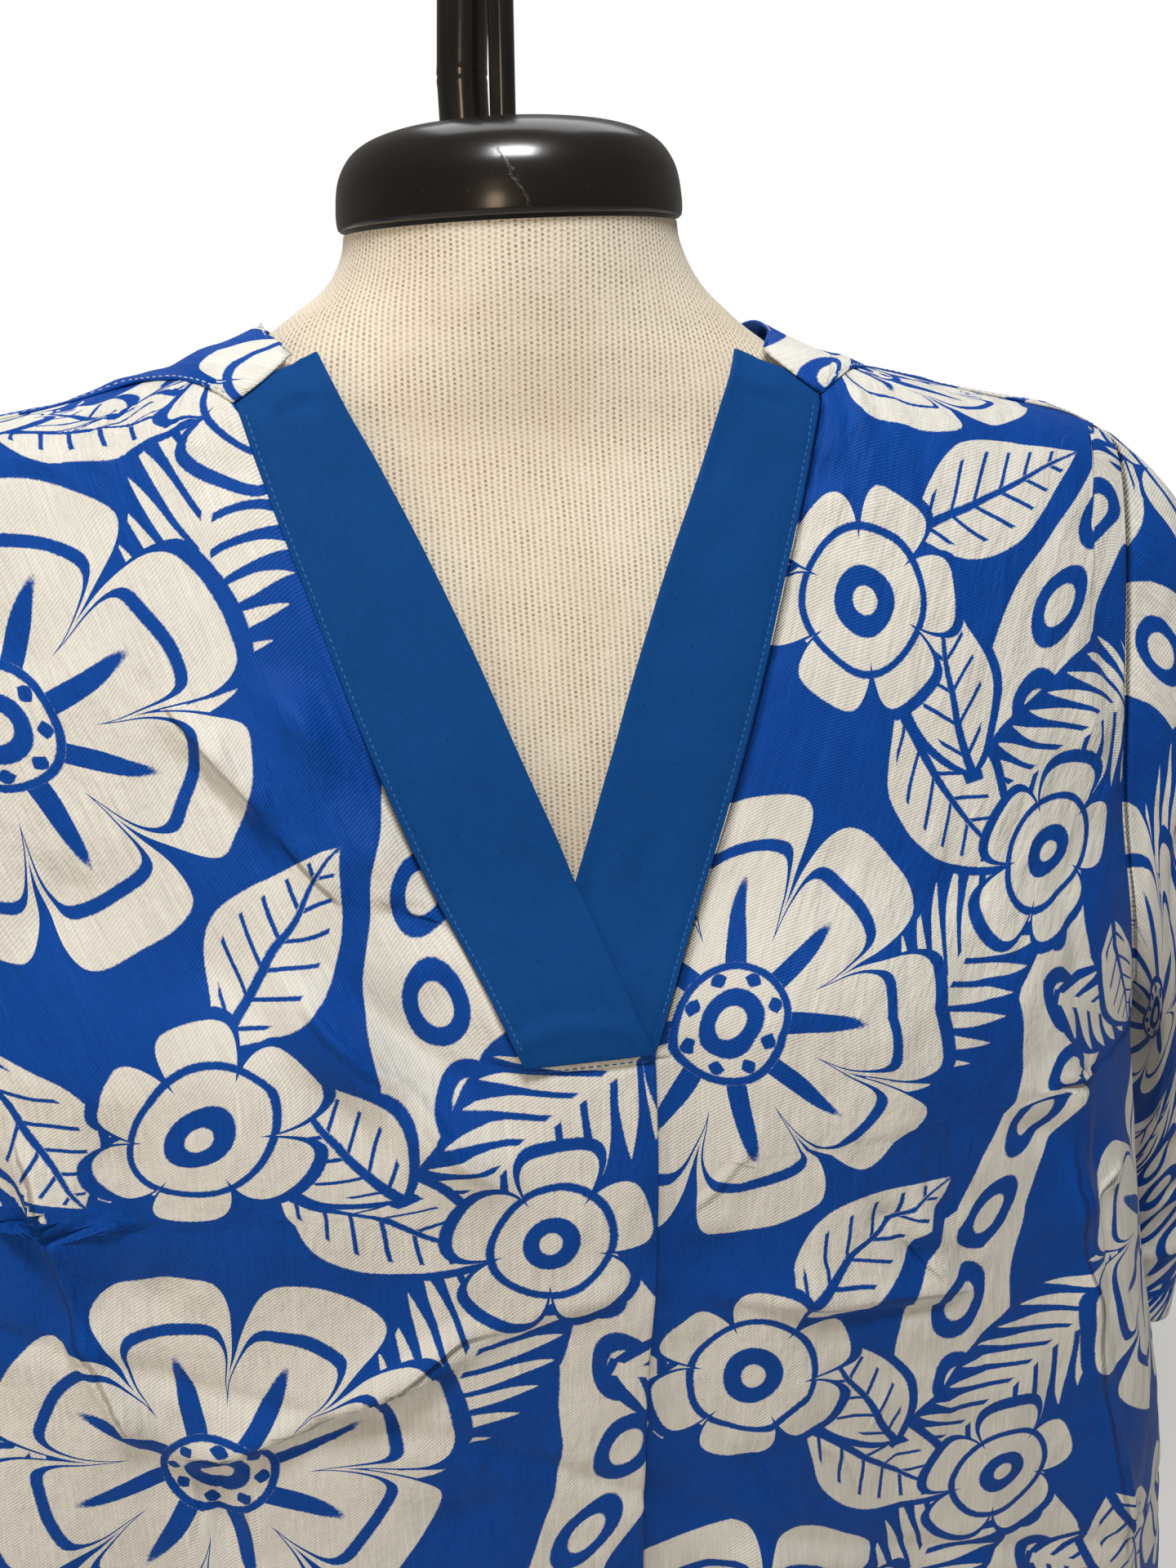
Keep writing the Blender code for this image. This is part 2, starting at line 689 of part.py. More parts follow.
def rod(name, x, y, radius, z0, z1, bend=0.0):
    """Upright round bar with slightly rounded ends; bend leans it above a joint."""
    crv = bpy.data.curves.new(name, "CURVE")
    crv.dimensions = "3D"
    crv.bevel_depth = radius * MM
    crv.bevel_resolution = 4
    crv.use_fill_caps = True
    line = crv.splines.new("POLY")
    pts = [z0, z0 + 0.26 * (z1 - z0), z1] if bend else [z0, z1]
    line.points.add(len(pts) - 1)
    for i, z in enumerate(pts):
        dx = bend if i == 2 else 0.0
        line.points[i].co = ((x + dx) * MM, y * MM, z * MM, 1)
    ob = bpy.data.objects.new(name, crv)
    ob.data.materials.append(black)
    ob.location = (0, SHIFT_Y * MM, 0)
    parts.objects.link(ob)
    return ob


rod("rod", -1.8, 0.0, 4.35, RIM + 32.5, ROD_TOP)
rod("stem", -13.2, 14.0, 8.6, RIM + 32.2, ROD_TOP, bend=2.0)
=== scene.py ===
"""Looks of the v-neck tunic top on its limbless dress form.

Every cloth piece is a fine, thin shell on the form of its solid: the same sections and
seam lines, read at about 3 mm, with the smaller folds, creases, gathers and hems that the
solids leave out.  Lengths in the tables are millimetres, +Z up, the front faces -Y and +X
is the wearer's left.
"""

import math

import bpy
import numpy as np
from mathutils import Matrix, Vector


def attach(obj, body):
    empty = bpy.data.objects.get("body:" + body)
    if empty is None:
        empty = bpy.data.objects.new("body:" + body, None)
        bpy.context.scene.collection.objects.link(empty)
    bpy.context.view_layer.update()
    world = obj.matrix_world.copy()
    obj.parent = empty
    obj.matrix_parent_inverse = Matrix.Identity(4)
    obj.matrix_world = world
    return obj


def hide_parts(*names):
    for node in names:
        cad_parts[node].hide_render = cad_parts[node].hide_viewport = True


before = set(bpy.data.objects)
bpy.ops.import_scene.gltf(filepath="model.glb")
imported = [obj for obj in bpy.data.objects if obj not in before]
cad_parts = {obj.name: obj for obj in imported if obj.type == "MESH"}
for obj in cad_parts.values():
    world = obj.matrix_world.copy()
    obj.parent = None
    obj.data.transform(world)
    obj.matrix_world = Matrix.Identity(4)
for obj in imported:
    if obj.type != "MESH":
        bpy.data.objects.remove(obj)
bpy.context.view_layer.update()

# ----------------------------------------------------------------------------
# Camera: 30 mm on a 36 mm high frame, a little above the neck, looking down
# ----------------------------------------------------------------------------
SHIFT_Y = -8.2


def make_camera():
    psi, pitch, roll = map(math.radians, (11.8, 19.4, 0.3))
    ahead = Vector((math.sin(psi), math.cos(psi), 0))
    right = Vector((math.cos(psi), -math.sin(psi), 0))
    z = Vector((0, 0, 1))
    look = ahead * math.cos(pitch) - z * math.sin(pitch)
    up = z * math.cos(pitch) + ahead * math.sin(pitch)
    side = right * math.cos(roll) - up * math.sin(roll)
    top = up * math.cos(roll) + right * math.sin(roll)
    m = Matrix((side, top, -look)).transposed().to_4x4()
    m.translation = Vector((-75.0, -484.7 + SHIFT_Y, 738.3)) * 0.001
    data = bpy.data.cameras.new("camera")
    data.sensor_fit = "VERTICAL"
    data.sensor_height = 36.0
    data.lens = 30.0
    data.clip_start = 0.02
    cam = bpy.data.objects.new("camera", data)
    cam.matrix_world = m
    bpy.context.scene.collection.objects.link(cam)
    bpy.context.scene.camera = cam


make_camera()

# ----------------------------------------------------------------------------
# Sizes shared with the solids
# ----------------------------------------------------------------------------
RIM = 770.0
HEM = 87.0
UNDERARM = 470.0
ARM_TOP = 703.4
PLACKET = 516.0
YOKE_BACK = 640.0
BAND_OUT_TOP = 716.0
BAND_IN_TOP = 729.4
SEAM = 0.35
PLEAT_BACK = -6.0
PLEAT_STEP = 1.6
PLEAT_OPEN = 2.2
LAP = 1.9
DROP_LEFT = 5.0
DROP_RIGHT = 2.0
SLEEVE_HEM = 243.0
CAP_TILT = 2.5
ROD_TOP = 862.0
CLOTH = 0.7               # thickness of the printed cloth
BAND = 1.1                # the neck bands are two layers
CREASE_GAIN = 1.15        # how much deeper the front's creases are than their table says

#   height  half_width  centre_y  front  back  squareness
TOP = np.array([
    (87.0, 331.0, 0.0, 134.0, 142.0, 2.80),
    (190.0, 316.0, 0.0, 134.0, 137.0, 2.90),
    (280.0, 300.0, -1.0, 134.0, 131.0, 2.85),
    (370.0, 278.0, -2.0, 133.0, 125.0, 2.70),
    (440.0, 262.0, -3.0, 131.5, 121.0, 2.50),
    (470.0, 256.0, -4.0, 129.5, 119.0, 2.50),
    (516.0, 254.0, -5.0, 123.0, 117.0, 2.50),
    (567.0, 254.0, -8.0, 96.5, 113.0, 2.50),
    (610.0, 254.0, -10.0, 82.5, 109.0, 2.50),
    (650.0, 252.0, -11.0, 69.5, 103.0, 2.50),
    (680.0, 246.0, -12.0, 58.5, 97.0, 2.40),
    (693.0, 238.0, -12.0, 54.0, 94.0, 2.35),
    (703.0, 222.0, -12.0, 51.0, 91.0, 2.30),
    (710.0, 200.0, -12.0, 49.3, 88.0, 2.25),
    (716.0, 168.0, -12.0, 48.5, 86.0, 2.20),
    (722.0, 140.0, -11.0, 49.5, 82.5, 2.15),
    (727.0, 117.0, -10.0, 50.3, 79.0, 2.10),
    (733.0, 97.5, -9.0, 51.3, 75.5, 2.05),
    (738.0, 87.0, -7.0, 53.0, 72.5, 2.00),
    (743.0, 79.0, -5.0, 55.0, 69.5, 2.00),
    (749.0, 70.0, -3.0, 57.0, 66.0, 2.00),
    (754.0, 40.0, -3.0, 57.5, 65.5, 2.00),
    (756.0, 5.0, -3.0, 58.0, 65.0, 2.00),
], float)

FORM = np.array([
    (0.0, 176.0, -2.0, 98.0, 112.0, 2.30),
    (60.0, 189.0, -2.0, 107.0, 121.0, 2.30),
    (130.0, 192.0, -2.0, 108.0, 122.0, 2.30),
    (210.0, 176.0, -2.0, 100.0, 106.0, 2.30),
    (300.0, 152.0, -3.0, 90.0, 86.0, 2.20),
    (340.0, 150.0, -3.0, 90.0, 84.0, 2.20),
    (410.0, 166.0, -4.0, 104.0, 94.0, 2.20),
    (470.0, 184.0, -5.0, 115.0, 104.0, 2.25),
    (516.0, 190.0, -6.0, 110.0, 109.0, 2.30),
    (567.0, 192.0, -8.0, 89.0, 109.0, 2.35),
    (610.0, 196.0, -10.0, 77.5, 105.0, 2.35),
    (650.0, 198.0, -11.0, 65.0, 99.0, 2.40),
    (676.0, 198.0, -12.0, 55.0, 93.0, 2.40),
    (688.5, 194.0, -12.0, 50.5, 90.0, 2.35),
    (698.5, 182.0, -12.0, 47.5, 87.0, 2.30),
    (705.5, 166.0, -12.0, 46.0, 84.0, 2.25),
    (711.5, 147.0, -12.0, 45.5, 82.0, 2.20),
    (718.0, 125.0, -11.0, 46.5, 78.5, 2.15),
    (724.0, 106.0, -10.0, 47.5, 75.5, 2.10),
    (731.0, 91.0, -9.0, 48.6, 72.0, 2.05),
    (737.0, 82.0, -7.0, 50.3, 69.5, 2.00),
    (742.5, 75.0, -5.0, 52.3, 66.5, 2.00),
    (749.0, 67.0, -3.0, 54.3, 63.0, 2.00),
    (757.0, 61.0, -1.0, 56.3, 60.0, 2.00),
    (765.0, 57.8, 0.0, 57.0, 58.0, 2.00),
    (769.2, 57.2, 0.0, 57.0, 57.4, 2.00),
], float)

#   height  outer_edge
BAND_OUTER = np.array([
    (516.0, 21.8), (540.0, 32.4), (569.0, 46.4), (614.0, 63.4),
    (659.0, 78.0), (688.0, 87.4), (716.0, 95.4),
], float)
V_POINT = 567.6
V_SLOPE = 0.404
# How far each band's free edge bows away from the straight line of the V.
#   height  wearer's right band  wearer's left band
BAND_BOW = np.array([
    (516.0, 0.0, 0.0), (568.0, 0.0, 0.0), (583.0, -0.7, -0.2), (597.0, -0.8, -0.8),
    (611.0, -1.0, -1.2), (626.0, -1.5, -1.8), (640.0, -1.7, -2.0), (655.0, -1.5, -2.0),
    (670.0, -1.1, -1.5), (684.0, -0.3, -0.6), (699.0, 0.9, 0.0), (714.0, 2.6, 0.1),
    (735.0, 3.6, 0.3),
], float)

#   height  x
ARMHOLE = np.array([
    (470.0, 255.9), (474.0, 251.0), (484.0, 242.0), (504.0, 231.0), (536.0, 223.5),
    (580.0, 220.0), (640.0, 219.0), (680.0, 220.0), (703.4, 220.9),
], float)

#   x  height
YOKE_FRONT = np.array([
    (95.4, 716.0), (100.5, 719.0), (106.0, 721.6), (113.0, 723.5), (124.0, 723.9),
    (147.0, 720.0), (170.0, 715.2), (197.0, 709.8), (220.9, 703.4),
], float)

#   x  height  side (-1 back, 1 front)
YOKE_NECK = np.array([
    (0.0, 742.0, -1.0), (31.0, 741.0, -1.0), (57.0, 738.2, -1.0), (76.0, 735.6, -1.0),
    (86.3, 737.2, -1.0), (84.6, 735.2, 1.0), (77.0, 729.6, 1.0),
], float)

#   azimuth_top  height_top  azimuth_hem  amplitude  half_width (degrees)
FOLDS = np.array([
    (63.0, 500.0, 69.0, 8.0, 6.5),
    (77.0, 480.0, 82.0, -6.5, 6.0),
    (44.0, 400.0, 47.0, -5.0, 8.0),
    (100.0, 500.0, 101.0, -9.0, 11.0),
    (-62.0, 520.0, -66.0, 7.5, 6.0),
    (-50.0, 480.0, -53.0, -6.5, 6.0),
    (-77.0, 470.0, -80.0, -6.5, 6.0),
    (-36.0, 380.0, -38.0, 5.0, 6.0),
    (-100.0, 500.0, -101.0, -9.0, 11.0),
    (121.0, 380.0, 118.0, 8.0, 6.0),
    (135.0, 560.0, 131.0, -8.0, 7.0),
    (152.0, 520.0, 148.0, 8.5, 7.0),
    (173.0, 470.0, 170.0, -7.0, 8.0),
    (-164.0, 500.0, -167.0, 7.5, 8.0),
    (-144.0, 540.0, -142.0, -8.5, 9.0),
    (-122.0, 400.0, -118.0, 8.0, 7.0),
], float)

# Smaller upright folds, sharper on one side than on the other.
#   azimuth_top  height_top  azimuth_hem  height_end  amplitude  half_minus  half_plus
FINE_FOLDS = [
    (61.5, 520, 71.0, 88, 2.6, 5.0, 1.1),
    (67.0, 455, 76.0, 88, -1.6, 1.6, 3.2),
    (-58.0, 545, -61.0, 400, 2.0, 3.4, 1.2),
    (-53.5, 550, -57.0, 415, -1.5, 1.6, 2.8),
    (-64.0, 500, -68.0, 88, 1.8, 1.5, 3.0),
    (-70.0, 560, -74.0, 300, -1.6, 2.4, 2.0),
    (24.0, 360, 27.0, 88, 1.7, 3.0, 4.0),
    (33.0, 300, 35.0, 88, -1.8, 3.0, 3.0),
    (54.0, 380, 57.0, 88, 1.4, 2.6, 2.0),
    (-12.0, 340, -14.0, 88, 1.8, 3.5, 3.0),
    (-24.0, 300, -26.0, 88, -2.0, 3.5, 4.0),
    (86.0, 440, 90.0, 88, 1.8, 2.6, 2.6),
    (110.0, 460, 110.0, 88, 2.0, 3.0, 2.2),
    (127.0, 500, 124.0, 88, 1.8, 1.6, 3.0),
    (142.0, 600, 139.0, 88, -2.0, 3.0, 2.6),
    (160.0, 590, 158.0, 88, 2.0, 3.0, 2.0),
    (-178.0, 600, 179.0, 88, -1.8, 3.4, 3.0),
    (-156.0, 560, -159.0, 88, -1.8, 2.6, 3.2),
    (-133.0, 600, -130.0, 88, 2.2, 2.0, 3.2),
    (-112.0, 470, -110.0, 88, -1.8, 3.0, 2.4),
    (-88.0, 450, -92.0, 88, 1.6, 2.4, 2.8),
]

# Creases across the panels, drawn on the front as it is seen: from (x0, h0) to (x1, h1),
# bowed sideways, raised (+) or sunk (-).  The left side of the way it runs has width_l,
# the right side width_r; a small one there makes that side steep.
#   x0  h0  x1  h1  bow  depth  width_l  width_r
FRONT_CREASES = [
    (-125, 632, -71, 565, 1.0, 3.4, 13.0, 3.0),
    (-116, 622, -88, 584, 0.0, 1.2, 4.0, 2.6),
    (-134, 632, -88, 572, 1.0, -2.0, 4.0, 11.0),
    (-86, 650, -40, 556, 2.0, -5.6, 6.5, 9.0),
    (-94, 640, -52, 560, 1.5, 5.6, 9.0, 8.0),
    (-72, 632, -50, 584, 0.5, 2.0, 5.0, 6.0),
    (-64, 566, -38, 556, 0.0, -2.4, 3.4, 4.0),
    (-66, 572, -42, 561, 0.0, 1.8, 3.0, 3.4),
    (-100, 558, -24, 470, -2.0, 6.0, 5.0, 14.0),
    (-90, 562, -16, 486, -2.5, -7.4, 13.0, 7.0),
    (-52, 548, -18, 500, 0.0, -3.6, 9.0, 8.0),
    (-126, 566, -58, 482, -1.0, -3.2, 9.0, 9.0),
    (-152, 377, -26, 424, -3.0, 5.6, 18.0, 3.0),
    (-150, 366, -46, 402, -2.0, -2.6, 3.0, 15.0),
    (-40, 421, 16, 430, 0.5, 2.2, 10.0, 4.0),
    (-180, 512, -168, 424, 2.5, 5.2, 9.0, 3.2),
    (-172, 440, -150, 382, -1.0, 4.8, 8.0, 3.2),
    (-186, 500, -178, 420, 2.0, -3.4, 6.0, 6.0),
    (-152, 520, -160, 420, 1.5, -3.0, 9.0, 9.0),
    (-160, 392, -118, 330, 2.0, -2.8, 12.0, 8.0),
    (-140, 380, -142, 326, 1.0, 1.8, 5.0, 4.0),
    (-130, 378, -129, 330, -1.0, -1.8, 5.0, 5.0),
    (-120, 384, -118, 328, 0.5, 1.6, 4.0, 4.0),
    (-138, 470, -150, 392, 1.0, -1.8, 9.0, 9.0),
    (36, 424, 150, 397, -3.0, 3.6, 15.0, 3.6),
    (80, 404, 158, 392, -1.0, -1.6, 3.4, 8.0),
    (100, 446, 128, 410, 1.0, -3.1, 5.0, 5.0),
    (112, 450, 142, 398, -1.0, 2.9, 4.5, 4.0),
    (124, 446, 150, 396, 1.0, -2.6, 5.0, 4.0),
    (134, 440, 158, 400, -1.0, 2.1, 4.0, 4.0),
    (40, 440, 60, 488, 1.0, 1.6, 5.0, 5.0),
    (32, 418, 54, 464, 0.0, -1.8, 5.0, 6.0),
    (24, 440, 38, 396, 0.0, 1.4, 5.0, 5.0),
    (70, 387, 92, 350, 0.0, 1.7, 5.0, 5.0),
    (45, 366, 73, 310, 1.0, -1.9, 6.0, 5.0),
    (56, 370, 84, 318, 1.0, 1.7, 5.0, 5.0),
    (77, 360, 107, 300, 1.0, -2.0, 6.0, 6.0),
    (112, 354, 128, 298, 1.0, -1.8, 7.0, 6.0),
    (128, 372, 142, 336, 1.0, 1.5, 5.0, 4.0),
    (150, 392, 160, 350, 0.0, -1.5, 5.0, 6.0),
    (60, 352, 74, 318, 0.0, -1.3, 5.0, 5.0),
    (150, 470, 214, 420, 3.0, -1.8, 7.0, 6.0),
    (187, 490, 200, 390, -1.0, 4.2, 3.4, 9.0),
    (196, 400, 214, 325, 0.5, 4.2, 3.4, 9.0),
    (212, 335, 240, 210, 0.5, 4.2, 4.0, 9.0),
    (206, 470, 214, 350, 1.0, -2.6, 7.0, 5.0),
    (208, 410, 232, 420, 0.5, 2.4, 2.8, 2.6),
    (196, 500, 176, 560, -2.0, -2.3, 8.0, 8.0),
    (214, 560, 186, 620, -3.0, 2.0, 7.0, 6.0),
    (216, 600, 204, 655, 2.0, -2.0, 6.0, 6.0),
    (120, 566, 160, 500, 4.0, -2.2, 14.0, 14.0),
    (96, 520, 118, 466, 3.0, 1.6, 10.0, 10.0),
    (-214, 556, -176, 622, 3.0, -2.6, 8.0, 8.0),
    (-206, 520, -182, 596, 2.0, 2.4, 6.0, 8.0),
    (-196, 664, -150, 640, 2.0, -2.0, 9.0, 9.0),
    (-150, 600, -186, 540, 3.0, -2.2, 12.0, 10.0),
    (-70, 330, -20, 352, 1.0, -2.0, 8.0, 8.0),
    (-130, 300, -60, 318, 2.0, 2.4, 9.0, 5.0),
    (40, 300, 130, 268, 2.0, 2.4, 8.0, 6.0),
    (-60, 240, 10, 256, 1.0, -1.8, 8.0, 9.0),
    (20, 220, 90, 236, -2.0, 1.7, 6.0, 9.0),
    (-190, 230, -120, 262, 2.0, 2.2, 9.0, 6.0),
    (130, 210, 200, 190, 2.0, -2.0, 9.0, 8.0),
    (-100, 170, -20, 158, 2.0, 1.7, 7.0, 7.0),
    (60, 150, 150, 140, -1.0, 1.6, 7.0, 7.0),
]

# The crispest of them, too narrow for the mesh, are pressed in by bump as well.  Lines of
# one group keep well apart:
#   group  points along it  depth  width_l  width_r
PRESSED = [
    (0, [(-125, 632), (-118, 623), (-111, 615)], 1.2, 6.0, 1.8),
    (1, [(-116, 621), (-108, 611.5), (-101, 603.6), (-94.6, 595.7)], 1.9, 8.0, 2.0),
    (2, [(-93, 593), (-88, 584), (-80.4, 574), (-71.3, 564.7)], 1.8, 7.0, 2.0),
    (0, [(-82, 624), (-70, 598), (-56, 568)], -2.8, 7.0, 11.0),
    (1, [(-54, 563), (-48.9, 561.2), (-42.7, 558.7)], 1.5, 3.0, 1.5),
    (2, [(-92, 547), (-82, 535), (-69, 521.4), (-56.5, 510.5), (-42, 487.6), (-29, 475)], 1.4, 3.0, 4.0),
    (0, [(-149, 378.6), (-124, 384.8), (-97, 393.3), (-78.6, 400.4), (-61, 412.5),
         (-45.8, 420.8), (-30.7, 421.6)], 2.2, 10.0, 2.2),
    (1, [(-180, 503), (-175, 487), (-172.9, 469.6), (-171.5, 452), (-168.7, 428), (-163, 415),
         (-158, 400), (-151.6, 385)], 1.6, 6.0, 2.0),
    (2, [(90, 411), (127.6, 402.6), (151.7, 395.9)], 1.4, 8.0, 2.2),
    (0, [(208, 411), (213.5, 413.2), (227.8, 417.7)], 1.4, 2.2, 1.8),
    (1, [(188, 470), (196.4, 405.8), (208.2, 350.6), (214.4, 325), (225.5, 279), (238.6, 216)],
     1.9, 2.2, 8.0),
    (2, [(45, 364), (61.5, 338.8), (72.4, 312)], 1.0, 3.0, 4.0),
    (0, [(77, 356), (94.5, 334), (107, 300)], 1.0, 3.0, 4.0),
    (1, [(108, 439), (123, 417.6), (142.6, 394)], 1.1, 4.0, 2.5),
    (2, [(-140, 373), (-139.4, 355), (-143, 335)], 1.0, 3.0, 2.4),
    (1, [(-120, 375), (-120.5, 354), (-118, 333)], 1.0, 3.0, 2.4),
    (2, [(129, 479), (128, 466), (131, 449)], 0.7, 2.6, 2.0),
    (0, [(140, 469), (139, 455), (143, 435)], 0.7, 2.4, 2.2),
    (0, [(112, 468), (119, 456), (121, 446)], 0.6, 2.4, 2.0),
    (1, [(104, 340), (110, 352), (113, 365)], 0.7, 2.6, 2.4),
    (1, [(128, 372), (135, 352), (139, 338)], 0.8, 2.6, 2.2),
    (2, [(28, 450), (42, 462), (60, 486)], 0.8, 4.0, 2.6),
    (0, [(150, 402), (157, 380), (158, 352)], 0.9, 3.0, 2.4),
]
PRESSED_GROUPS = 3

#   x0  h0  x1  h1  bow  depth  width_l  width_r     (as seen through from the front)
BACK_CREASES = [
    (-150, 600, -80, 556, 3.0, -1.8, 9.0, 9.0),
    (-60, 604, -30, 520, 2.0, 1.7, 7.0, 9.0),
    (20, 612, 46, 536, -2.0, -1.6, 7.0, 7.0),
    (96, 618, 70, 540, 2.0, 1.6, 6.0, 9.0),
    (170, 590, 110, 540, 3.0, -1.9, 9.0, 8.0),
    (206, 560, 160, 500, 2.0, 1.7, 6.0, 9.0),
    (-204, 566, -166, 506, 2.0, 1.6, 9.0, 6.0),
    (-120, 470, -20, 446, 3.0, 1.9, 12.0, 5.0),
    (10, 440, 110, 462, 3.0, 1.6, 10.0, 5.0),
    (-40, 400, 60, 384, 2.0, -1.4, 9.0, 9.0),
    (120, 420, 190, 380, 2.0, 1.5, 7.0, 6.0),
    (-190, 420, -120, 386, 2.0, -1.5, 8.0, 8.0),
    (-90, 330, -10, 310, 3.0, 1.5, 9.0, 6.0),
    (60, 330, 150, 292, 2.0, 1.5, 9.0, 6.0),
    (-170, 290, -90, 260, 3.0, -1.4, 9.0, 8.0),
    (0, 230, 90, 216, 2.0, -1.3, 8.0, 8.0),
    (-60, 190, 20, 170, 2.0, 1.3, 8.0, 6.0),
    (130, 200, 210, 170, 2.0, 1.3, 8.0, 6.0),
]

# Gathers under a seam: where one starts along it, how far it runs, how it leans.
#   x  length  lean  depth  width
FRONT_GATHERS = [
    (-99.0, 34, -5, 1.1, 1.9), (-103.5, 46, -8, -1.5, 2.2), (-108.5, 60, -7, 1.9, 2.6),
    (-114.0, 42, -12, -1.4, 2.3), (-119.5, 72, -6, 2.0, 3.2), (-127.0, 50, -14, -1.4, 3.0),
    (-134.0, 62, -14, 1.4, 3.6), (-144.0, 40, -14, -1.0, 3.8), (-158.0, 44, -12, 1.0, 5.0),
    (-176.0, 30, -8, -0.8, 5.0),
    (98.5, 26, 3, 1.0, 1.8), (103.0, 40, 5, -1.4, 2.1), (108.0, 48, 5, 1.6, 2.5),
    (114.0, 34, 7, -1.1, 2.6), (121.0, 52, 7, 1.3, 3.0), (130.0, 38, 9, -0.9, 3.4),
    (142.0, 44, 8, 0.9, 4.0), (160.0, 30, 8, -0.7, 5.0),
]
BACK_GATHERS = [
    (-92.0, 44, -4, 1.4, 3.0), (-80.0, 66, -3, -1.6, 3.4), (-66.0, 58, -3, 1.8, 3.6),
    (-54.0, 84, 0, -1.7, 3.4), (-41.0, 70, 1, 1.9, 3.8), (-28.0, 60, -2, -1.5, 3.2),
    (-12.0, 90, 2, 1.7, 3.8), (4.0, 64, -2, -1.7, 3.4), (18.0, 78, 1, 1.8, 3.6),
    (31.0, 56, 3, -1.5, 3.2), (45.0, 82, 0, 1.7, 3.6), (60.0, 60, 3, -1.6, 3.4),
    (75.0, 70, 3, 1.7, 3.6), (90.0, 42, 4, -1.2, 3.4),
]

# Puckers that pull in at the topstitching of a neck band.
#   side  height  reach  depth  half_height
PUCKERS = [
    (-1, 556.5, 13, -1.5, 2.6), (-1, 561.5, 15, 1.3, 2.6), (-1, 548.0, 10, 0.9, 3.0),
    (-1, 531.0, 9, -0.9, 2.6), (-1, 590.0, 9, -0.7, 3.2), (-1, 622.0, 8, 0.6, 3.0),
    (-1, 655.0, 10, -0.7, 3.4), (-1, 688.0, 12, 0.9, 3.2), (-1, 699.0, 14, -1.1, 3.0),
    (1, 700.0, 13, 1.0, 3.0), (1, 692.0, 16, -1.0, 3.2), (1, 683.0, 20, 1.1, 3.2),
    (1, 673.0, 14, -0.8, 3.4), (1, 646.0, 9, 0.6, 3.0), (1, 610.0, 8, -0.6, 3.0),
    (1, 577.0, 9, 0.7, 3.0), (1, 545.0, 8, -0.7, 3.0), (1, 528.0, 8, 0.7, 2.4),
]

# Folds that run round a sleeve; the angle is 0 at the top line and grows forwards.
#   share  amplitude  half_share  centre_angle  half_angle  slant
SLEEVE_FOLDS = [
    (0.72, 3.0, 0.035), (0.80, -3.0, 0.03), (0.87, 3.5, 0.03), (0.94, -2.5, 0.03),
]
SLEEVE_CREASES = [
    (0.16, 1.5, 0.020, 70, 34, 0.03), (0.20, -1.6, 0.018, 78, 30, 0.05),
    (0.27, 1.5, 0.022, 62, 36, -0.04), (0.36, -1.7, 0.024, 80, 42, 0.05),
    (0.45, 1.8, 0.022, 70, 40, -0.03), (0.53, -1.8, 0.020, 95, 44, 0.03),
    (0.60, 2.4, 0.017, 60, 50, 0.02), (0.645, -2.3, 0.015, 75, 44, -0.02),
    (0.69, 2.6, 0.014, 50, 48, 0.02), (0.735, -2.6, 0.013, 70, 50, 0.01),
    (0.775, 2.8, 0.013, 62, 46, -0.02), (0.82, -2.6, 0.013, 55, 52, 0.02),
    (0.86, 2.4, 0.013, 80, 50, 0.00),
    (0.15, -1.4, 0.020, 285, 34, -0.03), (0.24, 1.6, 0.022, 275, 38, 0.04),
    (0.33, -1.6, 0.022, 290, 36, -0.04), (0.43, 1.7, 0.022, 270, 44, 0.02),
    (0.52, -1.9, 0.020, 282, 40, 0.03), (0.61, 2.1, 0.018, 265, 46, -0.03),
    (0.68, -2.4, 0.015, 280, 44, 0.02), (0.75, 2.5, 0.014, 290, 46, 0.01),
    (0.82, -2.3, 0.014, 272, 50, -0.02), (0.88, 2.0, 0.013, 285, 40, 0.01),
    (0.30, 1.4, 0.030, 180, 50, 0.00), (0.50, -1.8, 0.028, 175, 60, 0.02),
    (0.66, 2.0, 0.020, 185, 60, -0.02), (0.79, -2.0, 0.016, 170, 60, 0.02),
]
# Eased fullness at the sleeve head: angle, reach (share), depth, half angle
SLEEVE_HEAD = [
    (-62, 0.10, -0.9, 5), (-48, 0.13, 1.1, 5), (-35, 0.11, -1.0, 5), (-20, 0.15, 1.2, 6),
    (-6, 0.12, -0.9, 5), (9, 0.14, 1.1, 6), (24, 0.10, -1.0, 5), (38, 0.15, 1.2, 6),
    (54, 0.11, -1.0, 5), (72, 0.17, 1.2, 6), (95, 0.15, -1.2, 7), (120, 0.13, 1.0, 7),
]


# ----------------------------------------------------------------------------
# Sections, worked out for whole arrays of points
# ----------------------------------------------------------------------------
def curve(xs, ys, x):
    """Monotone cubic curve through a table's points, read at x."""
    xs = np.asarray(xs, float)
    ys = np.asarray(ys, float)
    x = np.asarray(x, float)
    step = np.diff(xs)
    slope = np.diff(ys) / step
    m = np.zeros(len(xs))
    for i in range(1, len(xs) - 1):
        if slope[i - 1] * slope[i] > 0:
            a = 2 * step[i] + step[i - 1]
            b = step[i] + 2 * step[i - 1]
            m[i] = (a + b) / (a / slope[i - 1] + b / slope[i])
    m[0], m[-1] = slope[0], slope[-1]
    x = np.clip(x, xs[0], xs[-1])
    k = np.clip(np.searchsorted(xs, x) - 1, 0, len(xs) - 2)
    t = (x - xs[k]) / step[k]
    return ((2 * t ** 3 - 3 * t ** 2 + 1) * ys[k] + (t ** 3 - 2 * t ** 2 + t) * step[k] * m[k]
            + (-2 * t ** 3 + 3 * t ** 2) * ys[k + 1] + (t ** 3 - t ** 2) * step[k] * m[k + 1])


def smooth(a, b, x):
    t = np.clip((np.asarray(x, float) - a) / (b - a), 0.0, 1.0)
    return t * t * (3 - 2 * t)


